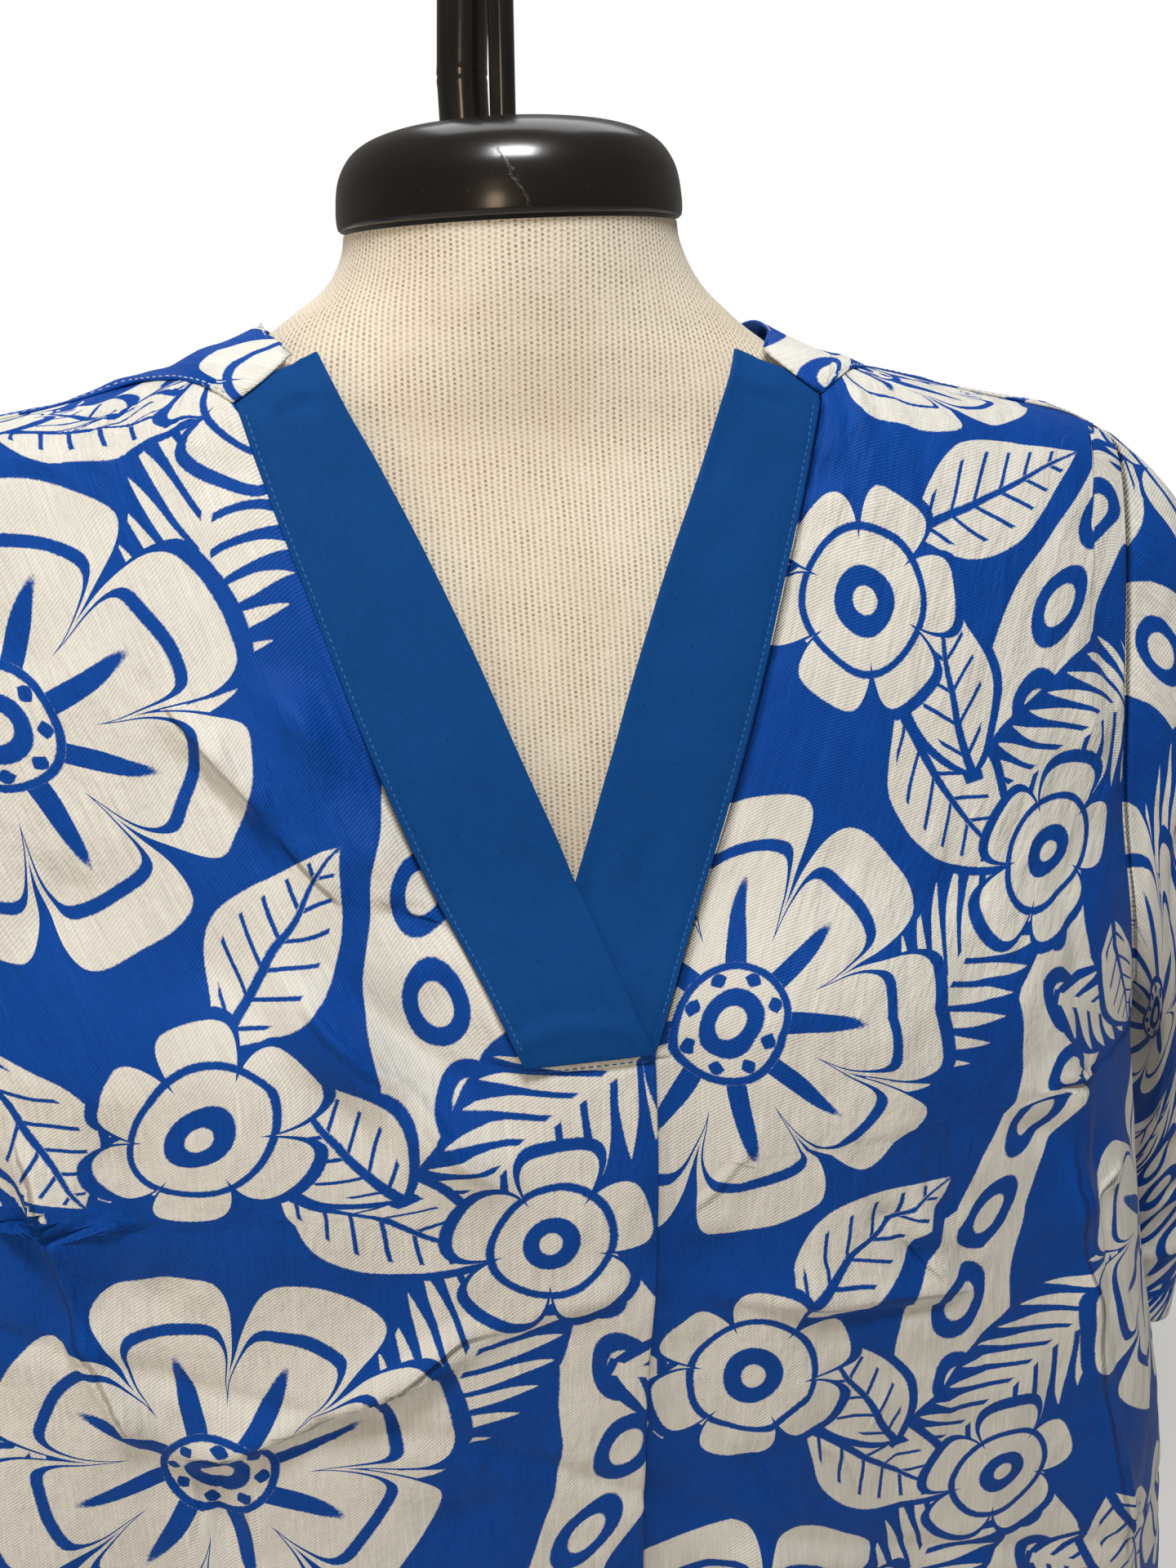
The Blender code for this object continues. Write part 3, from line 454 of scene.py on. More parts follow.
def section(table, h):
    return [curve(table[:, 0], table[:, i], h) for i in range(1, 6)]


def angle_of_x(table, x, h):
    w, _, _, _, n = section(table, h)
    return np.arccos(np.minimum(1.0, (np.abs(x) / w) ** (n / 2)))


def on_section(table, angle, h, back=False):
    w, c, f, b, n = section(table, h)
    x = w * np.abs(np.cos(angle)) ** (2 / n)
    y = np.abs(np.sin(angle)) ** (2 / n)
    y = c + b * y if back else c - f * y
    return np.stack(np.broadcast_arrays(x, y, h), -1).astype(float)


def ridge(x):
    """Height of the shoulder line at half-width x."""
    return curve(-TOP[9:, 1], TOP[9:, 0], -np.abs(x))


def on_profile(x, w):
    """Point at half-width x, |w|**2.2 under the shoulder line, behind it where w < 0."""
    h = ridge(x) - np.abs(w) ** 2.2
    width, c, f, b, n = section(TOP, h)
    k = np.maximum(0.0, 1 - np.minimum(1.0, np.abs(x) / width) ** n) ** (1 / n)
    return np.stack(np.broadcast_arrays(x, np.where(w > 0, c - f * k, c + b * k), h), -1)


def drop_of(x, h, side):
    return side * np.maximum(ridge(x) - h, 0.0) ** (1 / 2.2)


def reach(table, p):
    """1 on the section surface, more outside it."""
    w, c, f, b, n = section(table, p[..., 2])
    d = np.where(p[..., 1] < c, f, b)
    return (np.abs(p[..., 0]) / w) ** n + (np.abs(p[..., 1] - c) / d) ** n


def normal_at(p, table=TOP):
    e = 0.4
    g = np.stack([reach(table, p + np.array(v) * e) - reach(table, p - np.array(v) * e)
                  for v in ((1, 0, 0), (0, 1, 0), (0, 0, 1))], -1)
    size = np.linalg.norm(g, axis=-1, keepdims=True)
    return np.where(size > 1e-9, g / np.maximum(size, 1e-9), np.array((0.0, 0.0, 1.0)))


def turn_of(p):
    return np.degrees(np.arctan2(p[..., 0], -(p[..., 1] + 3)))


def fold_height(p):
    az, h = turn_of(p), p[..., 2]
    d = np.zeros(h.shape)
    for az_top, h_top, az_hem, amp, half in FOLDS:
        t = np.maximum(h_top - h, 0) / (h_top - HEM)
        off = (az - (az_top + (az_hem - az_top) * t) + 180) % 360 - 180
        d += amp * smooth(0, 0.5, t) * np.exp(-(off / half) ** 2)
    return d


def fine_folds(p):
    az, h = turn_of(p), p[..., 2]
    d = np.zeros(h.shape)
    for az_top, h_top, az_hem, h_end, amp, minus, plus in FINE_FOLDS:
        t = (h_top - h) / (h_top - HEM)
        wander = 1.3 * np.sin(h / 37.0 + az_top) + 0.8 * np.sin(h / 19.0 + 2 * az_top)
        off = (az - (az_top + (az_hem - az_top) * t) - wander + 180) % 360 - 180
        fade = smooth(0, 0.16, t)
        if h_end > HEM + 5:
            fade = fade * smooth(h_end, h_end + 45, h)
        d += amp * fade * np.exp(-(off / np.where(off < 0, minus, plus)) ** 2)
    return d


def creases(x, h, table):
    d = np.zeros(np.broadcast(x, h).shape)
    for x0, h0, x1, h1, bow, depth, left, right in table:
        length = math.hypot(x1 - x0, h1 - h0)
        ux, uh = (x1 - x0) / length, (h1 - h0) / length
        t = ((x - x0) * ux + (h - h0) * uh) / length
        s = (h - h0) * ux - (x - x0) * uh - bow * 4 * t * (1 - t)
        s = s - 0.9 * np.sin(t * 7 + x0)
        width = np.where(s > 0, left, right)
        body = np.exp(-np.sqrt((s / width) ** 2 + 0.12) * 1.5 + 0.52)
        fade = smooth(-0.02, 0.28, t) * smooth(1.02, 0.66, t)
        d += depth * fade * body * (1 + 0.25 * np.sin(t * 11 + h0))
    return d


def gathers(x, h, seam_height, table):
    d = np.zeros(np.broadcast(x, h).shape)
    below = seam_height - h
    for gx, length, lean, depth, width in table:
        t = np.maximum(below, 0) / length
        s = x - gx - lean * t - 0.6 * np.sin(below / 9.0 + gx)
        wide = width * (1 + 0.9 * np.minimum(t, 2))
        d += depth * np.exp(-(s / wide) ** 2) * np.exp(-(t / 0.62) ** 2) * smooth(-0.02, 0.10, t)
    return d


def puckers(x, h):
    d = np.zeros(np.broadcast(x, h).shape)
    for side, height, far, depth, half in PUCKERS:
        off = x * side - edge_in(h)
        t = np.clip(off / far, 0, 3)
        d += depth * np.exp(-((h - height + 0.25 * off) / (half * (1 + t))) ** 2) \
            * np.exp(-t ** 2 * 1.6) * smooth(-1, 3, off) * (x * side > 0)
    return d


def value_noise(u, v, scale, seed):
    """Smooth uneven field from -1 to 1, the same each run."""
    table = np.random.RandomState(seed).uniform(-1, 1, (64, 64))
    x, y = np.asarray(u) / scale + 32, np.asarray(v) / scale + 32
    i, j = np.floor(x).astype(int), np.floor(y).astype(int)
    fx, fy = x - i, y - j
    fx, fy = fx ** 3 * (fx * (fx * 6 - 15) + 10), fy ** 3 * (fy * (fy * 6 - 15) + 10)
    i0, j0, i1, j1 = i % 64, j % 64, (i + 1) % 64, (j + 1) % 64
    return ((table[i0, j0] * (1 - fx) + table[i1, j0] * fx) * (1 - fy)
            + (table[i0, j1] * (1 - fx) + table[i1, j1] * fx) * fy)


def rumple(u, v, seed):
    """Slight unevenness that worn cotton keeps after washing."""
    a = math.radians(24)
    r, s = u * math.cos(a) + v * math.sin(a), -u * math.sin(a) + v * math.cos(a)
    d = 0.55 * value_noise(r, s * 0.55, 46, seed) + 0.30 * value_noise(r, s * 0.8, 21, seed + 1)
    patch = np.clip(value_noise(u, v, 85, seed + 2) + 0.25, 0, 1)
    return d * 1.5 + patch * 0.62 * value_noise(s * 0.7, r, 11.0, seed + 3) \
        + 0.14 * value_noise(u, v, 7.0, seed + 4)


def grid_normals(g, away_from=(0.0, -3.0)):
    """Unit normals of a grid of points, pointing away from the upright axis."""
    n = np.cross(np.gradient(g, axis=1), np.gradient(g, axis=0))
    n /= np.maximum(np.linalg.norm(n, axis=-1, keepdims=True), 1e-9)
    away = g - np.array((*away_from, 0.0))
    away[..., 2] = 0
    return n * np.sign((n * away).sum())


def flange(edge, inside, normals, steps, uv_edge, uv_inside):
    """Seam allowance: a strip that runs on past an edge, under (or over) the next piece.

    steps: (distance past the edge, depth below the surface) in mm.
    """
    ahead = edge - inside
    ahead /= np.maximum(np.linalg.norm(ahead, axis=-1, keepdims=True), 1e-9)
    turn = uv_edge - uv_inside
    turn /= np.maximum(np.linalg.norm(turn, axis=-1, keepdims=True), 1e-9)
    p = np.stack([edge] + [edge + ahead * far - normals * deep for far, deep in steps], 1)
    uv = np.stack([uv_edge] + [uv_edge + turn * far * 0.001 for far, _ in steps], 1)
    return p, uv


def hem_step(h, hem, deep=17.0):
    """The turned-up hem is a little thicker, with a dent along its stitching."""
    return 0.35 * smooth(hem + deep + 1.2, hem + deep - 1.2, h) \
        - 0.45 * np.exp(-((h - hem - deep) / 1.3) ** 2)


def settle(p, out=0.0):
    """Worn place of a point of the smooth section surface: folds, shoulder drop."""
    q = p + normal_at(p) * (out + fold_height(p))[..., None]
    drop = np.where(p[..., 0] < 0, DROP_LEFT, DROP_RIGHT)
    q[..., 2] -= drop * smooth(95, 155, np.abs(p[..., 0]))
    return q


def clear_of_form(p, gap=1.1):
    """Keeps cloth outside the form where it runs close to it."""
    q = p.copy()
    drop = np.where(p[..., 0] < 0, DROP_LEFT, DROP_RIGHT) * smooth(95, 155, np.abs(p[..., 0]))
    level = np.clip(p[..., 2] + 0 * drop, 0, 757.0)
    w, c, f, b, n = section(FORM, level)
    d = np.where(p[..., 1] < c, f, b)
    x, y = p[..., 0] / (w + gap), (p[..., 1] - c) / (d + gap)
    s = (np.abs(x) ** n + np.abs(y) ** n) ** (1 / n)
    k = np.where((p[..., 2] < 690) & (s < 1), 1 / np.maximum(s, 0.5), 1.0)
    q[..., 0] = p[..., 0] * k
    q[..., 1] = c + (p[..., 1] - c) * k
    return q


def mirror_x(p):
    q = p.copy()
    q[..., 0] *= -1
    return q


def along(p, axis):
    """Length along the cloth, added up row by row or column by column."""
    d = np.linalg.norm(np.diff(p, axis=axis), axis=-1)
    return np.concatenate([np.zeros_like(d.take([0], axis)), np.cumsum(d, axis)], axis)


# ----------------------------------------------------------------------------
# Mesh helpers
# ----------------------------------------------------------------------------
def finish_piece(ob, slot, *nodes):
    bpy.context.scene.collection.objects.link(ob)
    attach(ob, "root")
    if nodes:
        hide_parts(*nodes)
    return ob


def mesh_from(name, verts, quads, uv=None, mat=None):
    """verts (n, 3) in mm, quads (m, 4) or tris (m, 3), uv per vertex in metres."""
    mesh = bpy.data.meshes.new(name)
    co = verts * 0.001
    co[:, 1] += SHIFT_Y * 0.001
    sides = quads.shape[1]
    mesh.vertices.add(len(co))
    mesh.vertices.foreach_set("co", co.astype(np.float32).ravel())
    mesh.loops.add(quads.size)
    mesh.loops.foreach_set("vertex_index", quads.astype(np.int32).ravel())
    mesh.polygons.add(len(quads))
    mesh.polygons.foreach_set("loop_start", np.arange(0, quads.size, sides, dtype=np.int32))
    mesh.update(calc_edges=True)
    if uv is not None:
        layer = mesh.uv_layers.new(name="cloth")
        layer.uv.foreach_set("vector", uv[quads.ravel()].astype(np.float32).ravel())
    mesh.polygons.foreach_set("use_smooth", np.ones(len(quads), bool))
    mesh.validate()
    mesh.update()
    if mat:
        mesh.materials.append(mat)
    return bpy.data.objects.new(name, mesh)


class Sheets:
    """Grids of points that meet along whole edges, made into one mesh."""

    def __init__(self):
        self.verts, self.uvs, self.quads, self.count = [], [], [], 0

    def add(self, p, uv, closed=False):
        rows, cols = p.shape[:2]
        index = np.arange(rows * cols).reshape(rows, cols) + self.count
        nxt = np.roll(index, -1, 1) if closed else index[:, 1:]
        cur = index if closed else index[:, :-1]
        q = np.stack([cur[:-1], nxt[:-1], nxt[1:], cur[1:]], -1).reshape(-1, 4)
        self.verts.append(p.reshape(-1, 3))
        self.uvs.append(uv.reshape(-1, 2))
        self.quads.append(q)
        self.count += rows * cols
        return index

    def build(self, name, mat, loop_uv=None):
        v, uv, q = np.concatenate(self.verts), np.concatenate(self.uvs), np.concatenate(self.quads)
        key = np.round(v / 0.004).astype(np.int64)
        _, first, back = np.unique(key, axis=0, return_index=True, return_inverse=True)
        back = back.ravel()
        order = np.argsort(first)
        rank = np.empty_like(order)
        rank[order] = np.arange(len(order))
        merged = rank[back]
        ob = mesh_from(name, v[first[order]].copy(), merged[q], None, mat)
        layer = ob.data.uv_layers.new(name="cloth")
        if len(layer.uv) == q.size:
            layer.uv.foreach_set("vector", uv[q.ravel()].astype(np.float32).ravel())
        return ob


def thick(ob, mm, offset=0.0):
    mod = ob.modifiers.new("Wall", "SOLIDIFY")
    mod.thickness = mm * 0.001
    mod.offset = offset
    mod.use_even_offset = False
    mod.use_rim = True
    return ob


# ----------------------------------------------------------------------------
# Materials
# ----------------------------------------------------------------------------
class Maths:
    """Writes shader arithmetic as Python expressions."""

    def __init__(self, tree):
        self.tree = tree

    def socket(self, value):
        return V(self, value)

    def node(self, op, *args, clamp=False):
        n = self.tree.nodes.new("ShaderNodeMath")
        n.operation = op
        n.use_clamp = clamp
        for i, a in enumerate(args):
            if isinstance(a, V):
                self.tree.links.new(a.s, n.inputs[i])
            else:
                n.inputs[i].default_value = float(a)
        return V(self, n.outputs[0])


class V:
    def __init__(self, maths, s):
        self.m, self.s = maths, s

    def __add__(self, o): return self.m.node("ADD", self, o)
    def __radd__(self, o): return self.m.node("ADD", o, self)
    def __sub__(self, o): return self.m.node("SUBTRACT", self, o)
    def __rsub__(self, o): return self.m.node("SUBTRACT", o, self)
    def __mul__(self, o): return self.m.node("MULTIPLY", self, o)
    def __rmul__(self, o): return self.m.node("MULTIPLY", o, self)
    def __truediv__(self, o): return self.m.node("DIVIDE", self, o)
    def __rtruediv__(self, o): return self.m.node("DIVIDE", o, self)
    def __pow__(self, o): return self.m.node("POWER", self, o)
    def __neg__(self): return self.m.node("MULTIPLY", self, -1)
    def sin(self): return self.m.node("SINE", self)
    def cos(self): return self.m.node("COSINE", self)
    def abs(self): return self.m.node("ABSOLUTE", self)
    def sqrt(self): return self.m.node("SQRT", self)
    def floor(self): return self.m.node("FLOOR", self)
    def fract(self): return self.m.node("FRACT", self)
    def mod(self, o): return self.m.node("FLOORED_MODULO", self, o)
    def min(self, o): return self.m.node("MINIMUM", self, o)
    def max(self, o): return self.m.node("MAXIMUM", self, o)
    def atan2(self, o): return self.m.node("ARCTAN2", self, o)
    def mad(self, a, b): return self.m.node("MULTIPLY_ADD", self, a, b)

    def ramp(self, a, b, c=0.0, d=1.0, kind="SMOOTHSTEP"):
        n = self.m.tree.nodes.new("ShaderNodeMapRange")
        n.interpolation_type = kind
        self.m.tree.links.new(self.s, n.inputs[0])
        for i, x in zip((1, 2, 3, 4), (a, b, c, d)):
            n.inputs[i].default_value = x
        return V(self.m, n.outputs[0])


def new_material(name):
    mat = bpy.data.materials.new(name)
    mat.use_nodes = True
    tree = mat.node_tree
    return mat, tree, tree.nodes["Principled BSDF"], Maths(tree)


def noise(tree, vector, scale, detail=2.0, rough=0.5, stretch=None, colour=False):
    if stretch:
        m = tree.nodes.new("ShaderNodeMapping")
        m.inputs["Scale"].default_value = stretch
        tree.links.new(vector, m.inputs["Vector"])
        vector = m.outputs[0]
    n = tree.nodes.new("ShaderNodeTexNoise")
    n.inputs["Scale"].default_value = scale
    n.inputs["Detail"].default_value = detail
    n.inputs["Roughness"].default_value = rough
    tree.links.new(vector, n.inputs["Vector"])
    return n.outputs["Color" if colour else "Fac"]


def mix_colour(tree, fac, a, b, blend="MIX"):
    n = tree.nodes.new("ShaderNodeMix")
    n.data_type = "RGBA"
    n.blend_type = blend
    for sock, value in ((n.inputs[0], fac), (n.inputs[6], a), (n.inputs[7], b)):
        if isinstance(value, V):
            tree.links.new(value.s, sock)
        elif isinstance(value, (tuple, list)):
            sock.default_value = (*value, 1) if len(value) == 3 else value
        elif isinstance(value, (int, float)):
            sock.default_value = value
        else:
            tree.links.new(value, sock)
    return n.outputs[2]


def bump(tree, height, strength, distance, normal=None):
    n = tree.nodes.new("ShaderNodeBump")
    n.inputs["Strength"].default_value = strength
    n.inputs["Distance"].default_value = distance
    tree.links.new(height.s if isinstance(height, V) else height, n.inputs["Height"])
    if normal is not None:
        tree.links.new(normal, n.inputs["Normal"])
    return n.outputs[0]


def cloth_coords(tree):
    uv = tree.nodes.new("ShaderNodeUVMap")
    uv.uv_map = "cloth"
    return uv.outputs[0]


def split(tree, m, vector):
    s = tree.nodes.new("ShaderNodeSeparateXYZ")
    tree.links.new(vector, s.inputs[0])
    return V(m, s.outputs[0]), V(m, s.outputs[1])


# The printed design is a plain repeat of flowers, fern fronds and leaves over winding
# ribbons.  Distances are in millimetres of cloth, positive inside a motif.
REPEAT_W, REPEAT_H = 232.0, 292.0


def cell(m, u, v, ou, ov, w=REPEAT_W, h=REPEAT_H):
    """Place inside the repeat, whose columns are half a repeat apart."""
    a = (u - ou) / w
    column = a.floor()
    x = (a - column - 0.5) * w
    b = (v - ov) / h + column.mod(2) * 0.5
    y = (b.fract() - 0.5) * h
    return x, y


def turned(x, y, cx, cy, deg):
    c, s = math.cos(math.radians(deg)), math.sin(math.radians(deg))
    dx, dy = x - cx, y - cy
    return dx * c + dy * s, dy * c - dx * s


def flower(x, y, radius, petals, phase):
    """Returns (white shape, blue lines in it, clearing round it)."""
    r = (x * x + y * y).sqrt()
    turn = y.atan2(x) + phase
    lobe = (turn * (petals / 2)).sin().abs()          # 0 between petals, 1 at their middle
    edge = (1 - (1 - lobe) ** 5 * 0.46) * radius
    body = edge - r
    # inner outline of each petal, and its midrib
    inner = (edge * 0.76 - r).abs()
    line = 2.2 - inner
    middle = (1 - lobe)                               # small near a petal's middle
    rib = (1 - r / (radius * 0.62)) * 7.5 - middle * r * 0.9
    rib = rib.min(r - radius * 0.26)
    # heart: a ring of seeds round a disc
    seeds = (turn * petals).cos() * 2.6 - (r - radius * 0.195).abs()
    disc = radius * 0.145 - r
    ring = 1.5 - (r - radius * 0.245).abs()
    eye = radius * 0.070 - r
    blue = line.max(rib).max(ring).max(disc).max(seeds).min(body)
    blue = blue.min(-eye)
    return body, blue, body + 6.0


def frond(x, y, length, wide, bend, pitch=11.0, slant=0.85):
    """A curved stem with slanted leaflets on both sides: (shape, outline)."""
    t = (x / length)
    s = y - t * t * bend
    a = s.abs()
    tc = t.max(0.0).min(1.0)
    envelope = ((tc ** 0.8) * math.pi).sin() * wide
    across = a / (envelope + 0.5)
    phase = ((x - a * slant) / pitch).fract()
    gap = (phase - 0.5).abs() * pitch
    leaflet = (1 - across * across * across) * (pitch * 0.37) - gap
    leaflet = leaflet.min(envelope - a)
    stem = (1 - tc) * 1.9 + 0.7 - a
    inside = ((0.485 - (t - 0.5).abs()) * length)
    return leaflet.max(stem).min(inside), (envelope - a).min(inside)


def leaf(x, y, length, wide, bend):
    """A pointed leaf with a midrib and side veins: (shape, veins)."""
    t = x / length
    s = y - t * (1 - t) * bend
    tc = t.max(0.0).min(1.0)
    half = ((tc ** 0.85) * math.pi).sin() * wide
    a = s.abs()
    body = half - a
    rib = (1 - tc) * 1.5 + 0.5 - a
    vein = 1.0 - (((x - a * 0.9) / 12.0).fract() - 0.5).abs() * 12.0
    vein = vein.min(half * 0.72 - a).min(a - 1.0)
    inside = ((0.5 - (t - 0.5).abs()) * length)
    return body.min(inside), rib.max(vein)


def ribbon(u, v):
    """Wide white band that winds between the flowers, with a row of blue seeds in it."""
    a = u / REPEAT_W
    column = a.floor()
    x = (a - column - 0.5) * REPEAT_W
    way = (v * (2 * math.pi / REPEAT_H) + column.mod(2) * math.pi)
    s = (x - way.cos() * 27.0).abs()
    wide = (way * 2).cos() * 4.0 + 21.0
    body = wide - s
    y = ((v / (REPEAT_H / 8)).fract() - 0.5) * (REPEAT_H / 8)
    r = (s * s + y * y * 0.55).sqrt()
    seed = (r - 8.5).abs() - 2.7
    return body.min(seed.max(2.6 - r))


def print_distance(tree, m, coords):
    """Millimetres inside the white of the printed design."""
    wob = noise(tree, coords, 26.0, 1.0, 0.5, colour=True)
    s = tree.nodes.new("ShaderNodeSeparateXYZ")
    tree.links.new(wob, s.inputs[0])
    u, v = split(tree, m, coords)
    u = u * 1000 + (V(m, s.outputs[0]) - 0.5) * 7.0
    v = v * 1000 + (V(m, s.outputs[1]) - 0.5) * 7.0
    x, y = cell(m, u, v, 0.0, 0.0)                   # large flowers
    x2, y2 = cell(m, u, v, 116.0, 73.0)              # one gap between four of them
    x3, y3 = cell(m, u, v, 0.0, 146.0)               # the gap above each
    white = ribbon(u - REPEAT_W / 2, v - REPEAT_H / 2)
    for at in ((x2, y2, -66, -92, 52, 158, 30, 30, 11.0), (x2, y2, 62, 96, 226, 150, 29, -30, 11.0),
               (x3, y3, -96, 20, -24, 120, 25, 22, 10.0)):
        body, outline = frond(*turned(*at[:5]), *at[5:])
        white = white.min(-(outline + 3.5)).max(body)
    for at in ((x3, y3, 30, -26, -36, 84, 21, -16), (x3, y3, 22, 30, 34, 80, 20, 14),
               (x2, y2, 52, -24, -66, 76, 19, 14), (x2, y2, -48, 30, 118, 70, 18, 12)):
        body, marks = leaf(*turned(*at[:5]), *at[5:])
        white = white.min(-(body + 4.0)).max(body.min(-marks))
    # small flowers
    for at, radius, petals, phase in (((x2, y2, 0, 2), 33, 5, 0.4), ((x3, y3, 8, 4), 38, 6, 0.2)):
        xx, yy = turned(at[0], at[1], at[2], at[3], 0)
        r = (xx * xx + yy * yy).sqrt()
        turn = yy.atan2(xx) + phase
        lobe = (turn * (petals / 2)).sin().abs()
        body = (1 - (1 - lobe) ** 3 * 0.5) * radius - r
        white = white.min(-(body + 4.5))
        hole = (radius * 0.30 - r).max(1.4 - (r - radius * 0.62).abs())
        white = white.max(body.min(-hole)).max(radius * 0.12 - r)
    # large flower in front
    body, blue, clear = flower(x, y, 80.0, 8, 0.2)
    return white.min(-clear).max(body.min(-blue))


def cotton_surface(tree, m, coords, twill, slub):
    """Height and brightness of slubbed cotton: (height, brightness); the brightness holds the yarns' own colour and
    painted shade in the twill's grooves.
    """
    u, v = split(tree, m, coords)
    streak = V(m, noise(tree, coords, 1.0, 2.0, 0.55, stretch=(1500.0, 55.0, 1)))
    weft = V(m, noise(tree, coords, 1.0, 1.5, 0.5, stretch=(90.0, 2100.0, 1)))
    rib = ((v - u * 0.62) * (2 * math.pi / 0.00125)).sin()
    yarn = (u * (2 * math.pi / 0.00052)).sin()
    cloud = V(m, noise(tree, coords, 34.0, 3.0, 0.55))
    height = streak * slub + weft * (slub * 0.5) + rib * twill + yarn * (twill * 0.25)
    thick_yarn = V(m, noise(tree, coords, 1.0, 1.0, 0.5, stretch=(620.0, 14.0, 1))).ramp(0.60, 0.78)
    # slub streaks, weft bars, cloud and thick yarns are the yarns' own colour; the rib term is painted shade, darker
    # in the twill's grooves where its bump sinks
    yarn_tone_and_weave_shade = (streak - 0.5) * 0.42 + (weft - 0.5) * 0.16 + rib * (twill * 0.15) \
        + (cloud - 0.5) * 0.16 + thick_yarn * 0.10 + 0.975
    return height, yarn_tone_and_weave_shade


def pressed_lines(tree, m):
    """Height in mm of the crisp creases that keep_lines has stored on the mesh."""
    total = None
    for group in range(PRESSED_GROUPS):
        line = tree.nodes.new("ShaderNodeAttribute")
        line.attribute_name = f"crease_{group}"
        parts = tree.nodes.new("ShaderNodeSeparateXYZ")
        tree.links.new(line.outputs["Vector"], parts.inputs[0])
        away, left, right = (V(m, o) for o in parts.outputs)
        depth = tree.nodes.new("ShaderNodeAttribute")
        depth.attribute_name = f"crease_height_{group}"
        one = (away * left).max(away * right).ramp(0.0, 1.0, 1.0, 0.0) * V(m, depth.outputs["Fac"])
        total = one if total is None else total + one
    return total


def keep_lines(ob, lines, group):
    """Store at each face corner how far it is from the nearest of some lines on the cloth,
    in mm, how steep that line's two sides are, and its height there."""
    layer = ob.data.uv_layers["cloth"]
    uv = np.empty(len(layer.uv) * 2, np.float32)
    layer.uv.foreach_get("vector", uv)
    uv = uv.reshape(-1, 2).astype(float)
    nearest, height = np.full(len(uv), 1e9), np.zeros(len(uv))
    across = np.zeros((len(uv), 3))
    for points, depth, left, right in lines:
        last = len(points) - 2
        for k, (start, end) in enumerate(zip(points, points[1:])):
            start, end = np.array(start), np.array(end)
            length = np.linalg.norm(end - start)
            way = (end - start) / length
            t = (uv - start) @ way / length
            side = 1000 * ((uv[:, 1] - start[1]) * way[0] - (uv[:, 0] - start[0]) * way[1])
            away = np.hypot(side, 1000 * length * (t - np.clip(t, 0, 1)))
            fade = (smooth(-0.02, 0.9, t) if k == 0 else 1.0) * (smooth(1.02, 0.1, t) if k == last else 1.0)
            fade = fade * (away < max(left, right) + 5.0)
            closer = away < nearest
            nearest[closer] = away[closer]
            height[closer] = (depth * fade)[closer]
            across[closer] = np.stack([side, 0 * side + 1 / left, 0 * side - 1 / right], -1)[closer]
    store = ob.data.attributes.new(f"crease_{group}", "FLOAT_VECTOR", "CORNER")
    store.data.foreach_set("vector", across.astype(np.float32).ravel())
    store = ob.data.attributes.new(f"crease_height_{group}", "FLOAT", "CORNER")
    store.data.foreach_set("value", height.astype(np.float32))


def printed_cotton(name, creased=False):
    mat, tree, bsdf, m = new_material(name)
    coords = cloth_coords(tree)
    d = print_distance(tree, m, coords)
    fuzz = V(m, noise(tree, coords, 900.0, 1.0, 0.5))
    white = (d + (fuzz - 0.5) * 0.7).ramp(-0.32, 0.32)
    height, yarn_tone_and_weave_shade = cotton_surface(tree, m, coords, 0.5, 1.0)
    colour = mix_colour(tree, white, (0.0036, 0.066, 0.358), (0.800, 0.785, 0.715))
    # multiplies in the yarns' own colour and the painted shade of the twill's grooves
    grey = tree.nodes.new("ShaderNodeCombineColor")
    for k in range(3):
        tree.links.new(yarn_tone_and_weave_shade.s, grey.inputs[k])
    colour = mix_colour(tree, 1.0, colour, grey.outputs[0], "MULTIPLY")
    tree.links.new(colour, bsdf.inputs["Base Color"])
    fine = bump(tree, height, 0.50, 0.00020)
    wrinkle = V(m, noise(tree, coords, 1.0, 3.5, 0.60, stretch=(96.0, 38.0, 1)))
    broad = V(m, noise(tree, coords, 1.0, 2.0, 0.5, stretch=(30.0, 17.0, 1)))
    worn = V(m, noise(tree, coords, 7.0, 1.0, 0.5)).ramp(0.38, 0.62, 0.45, 1.15)
    folds = wrinkle * worn * 2.1 + broad * 3.4
    if creased:
        folds = folds + pressed_lines(tree, m)
    tree.links.new(bump(tree, folds, 1.0, 0.001, fine), bsdf.inputs["Normal"])
    bsdf.inputs["Roughness"].default_value = 0.55
    bsdf.inputs["Specular IOR Level"].default_value = 0.11
    bsdf.inputs["Sheen Weight"].default_value = 0.01
    bsdf.inputs["Sheen Roughness"].default_value = 0.4
    return mat


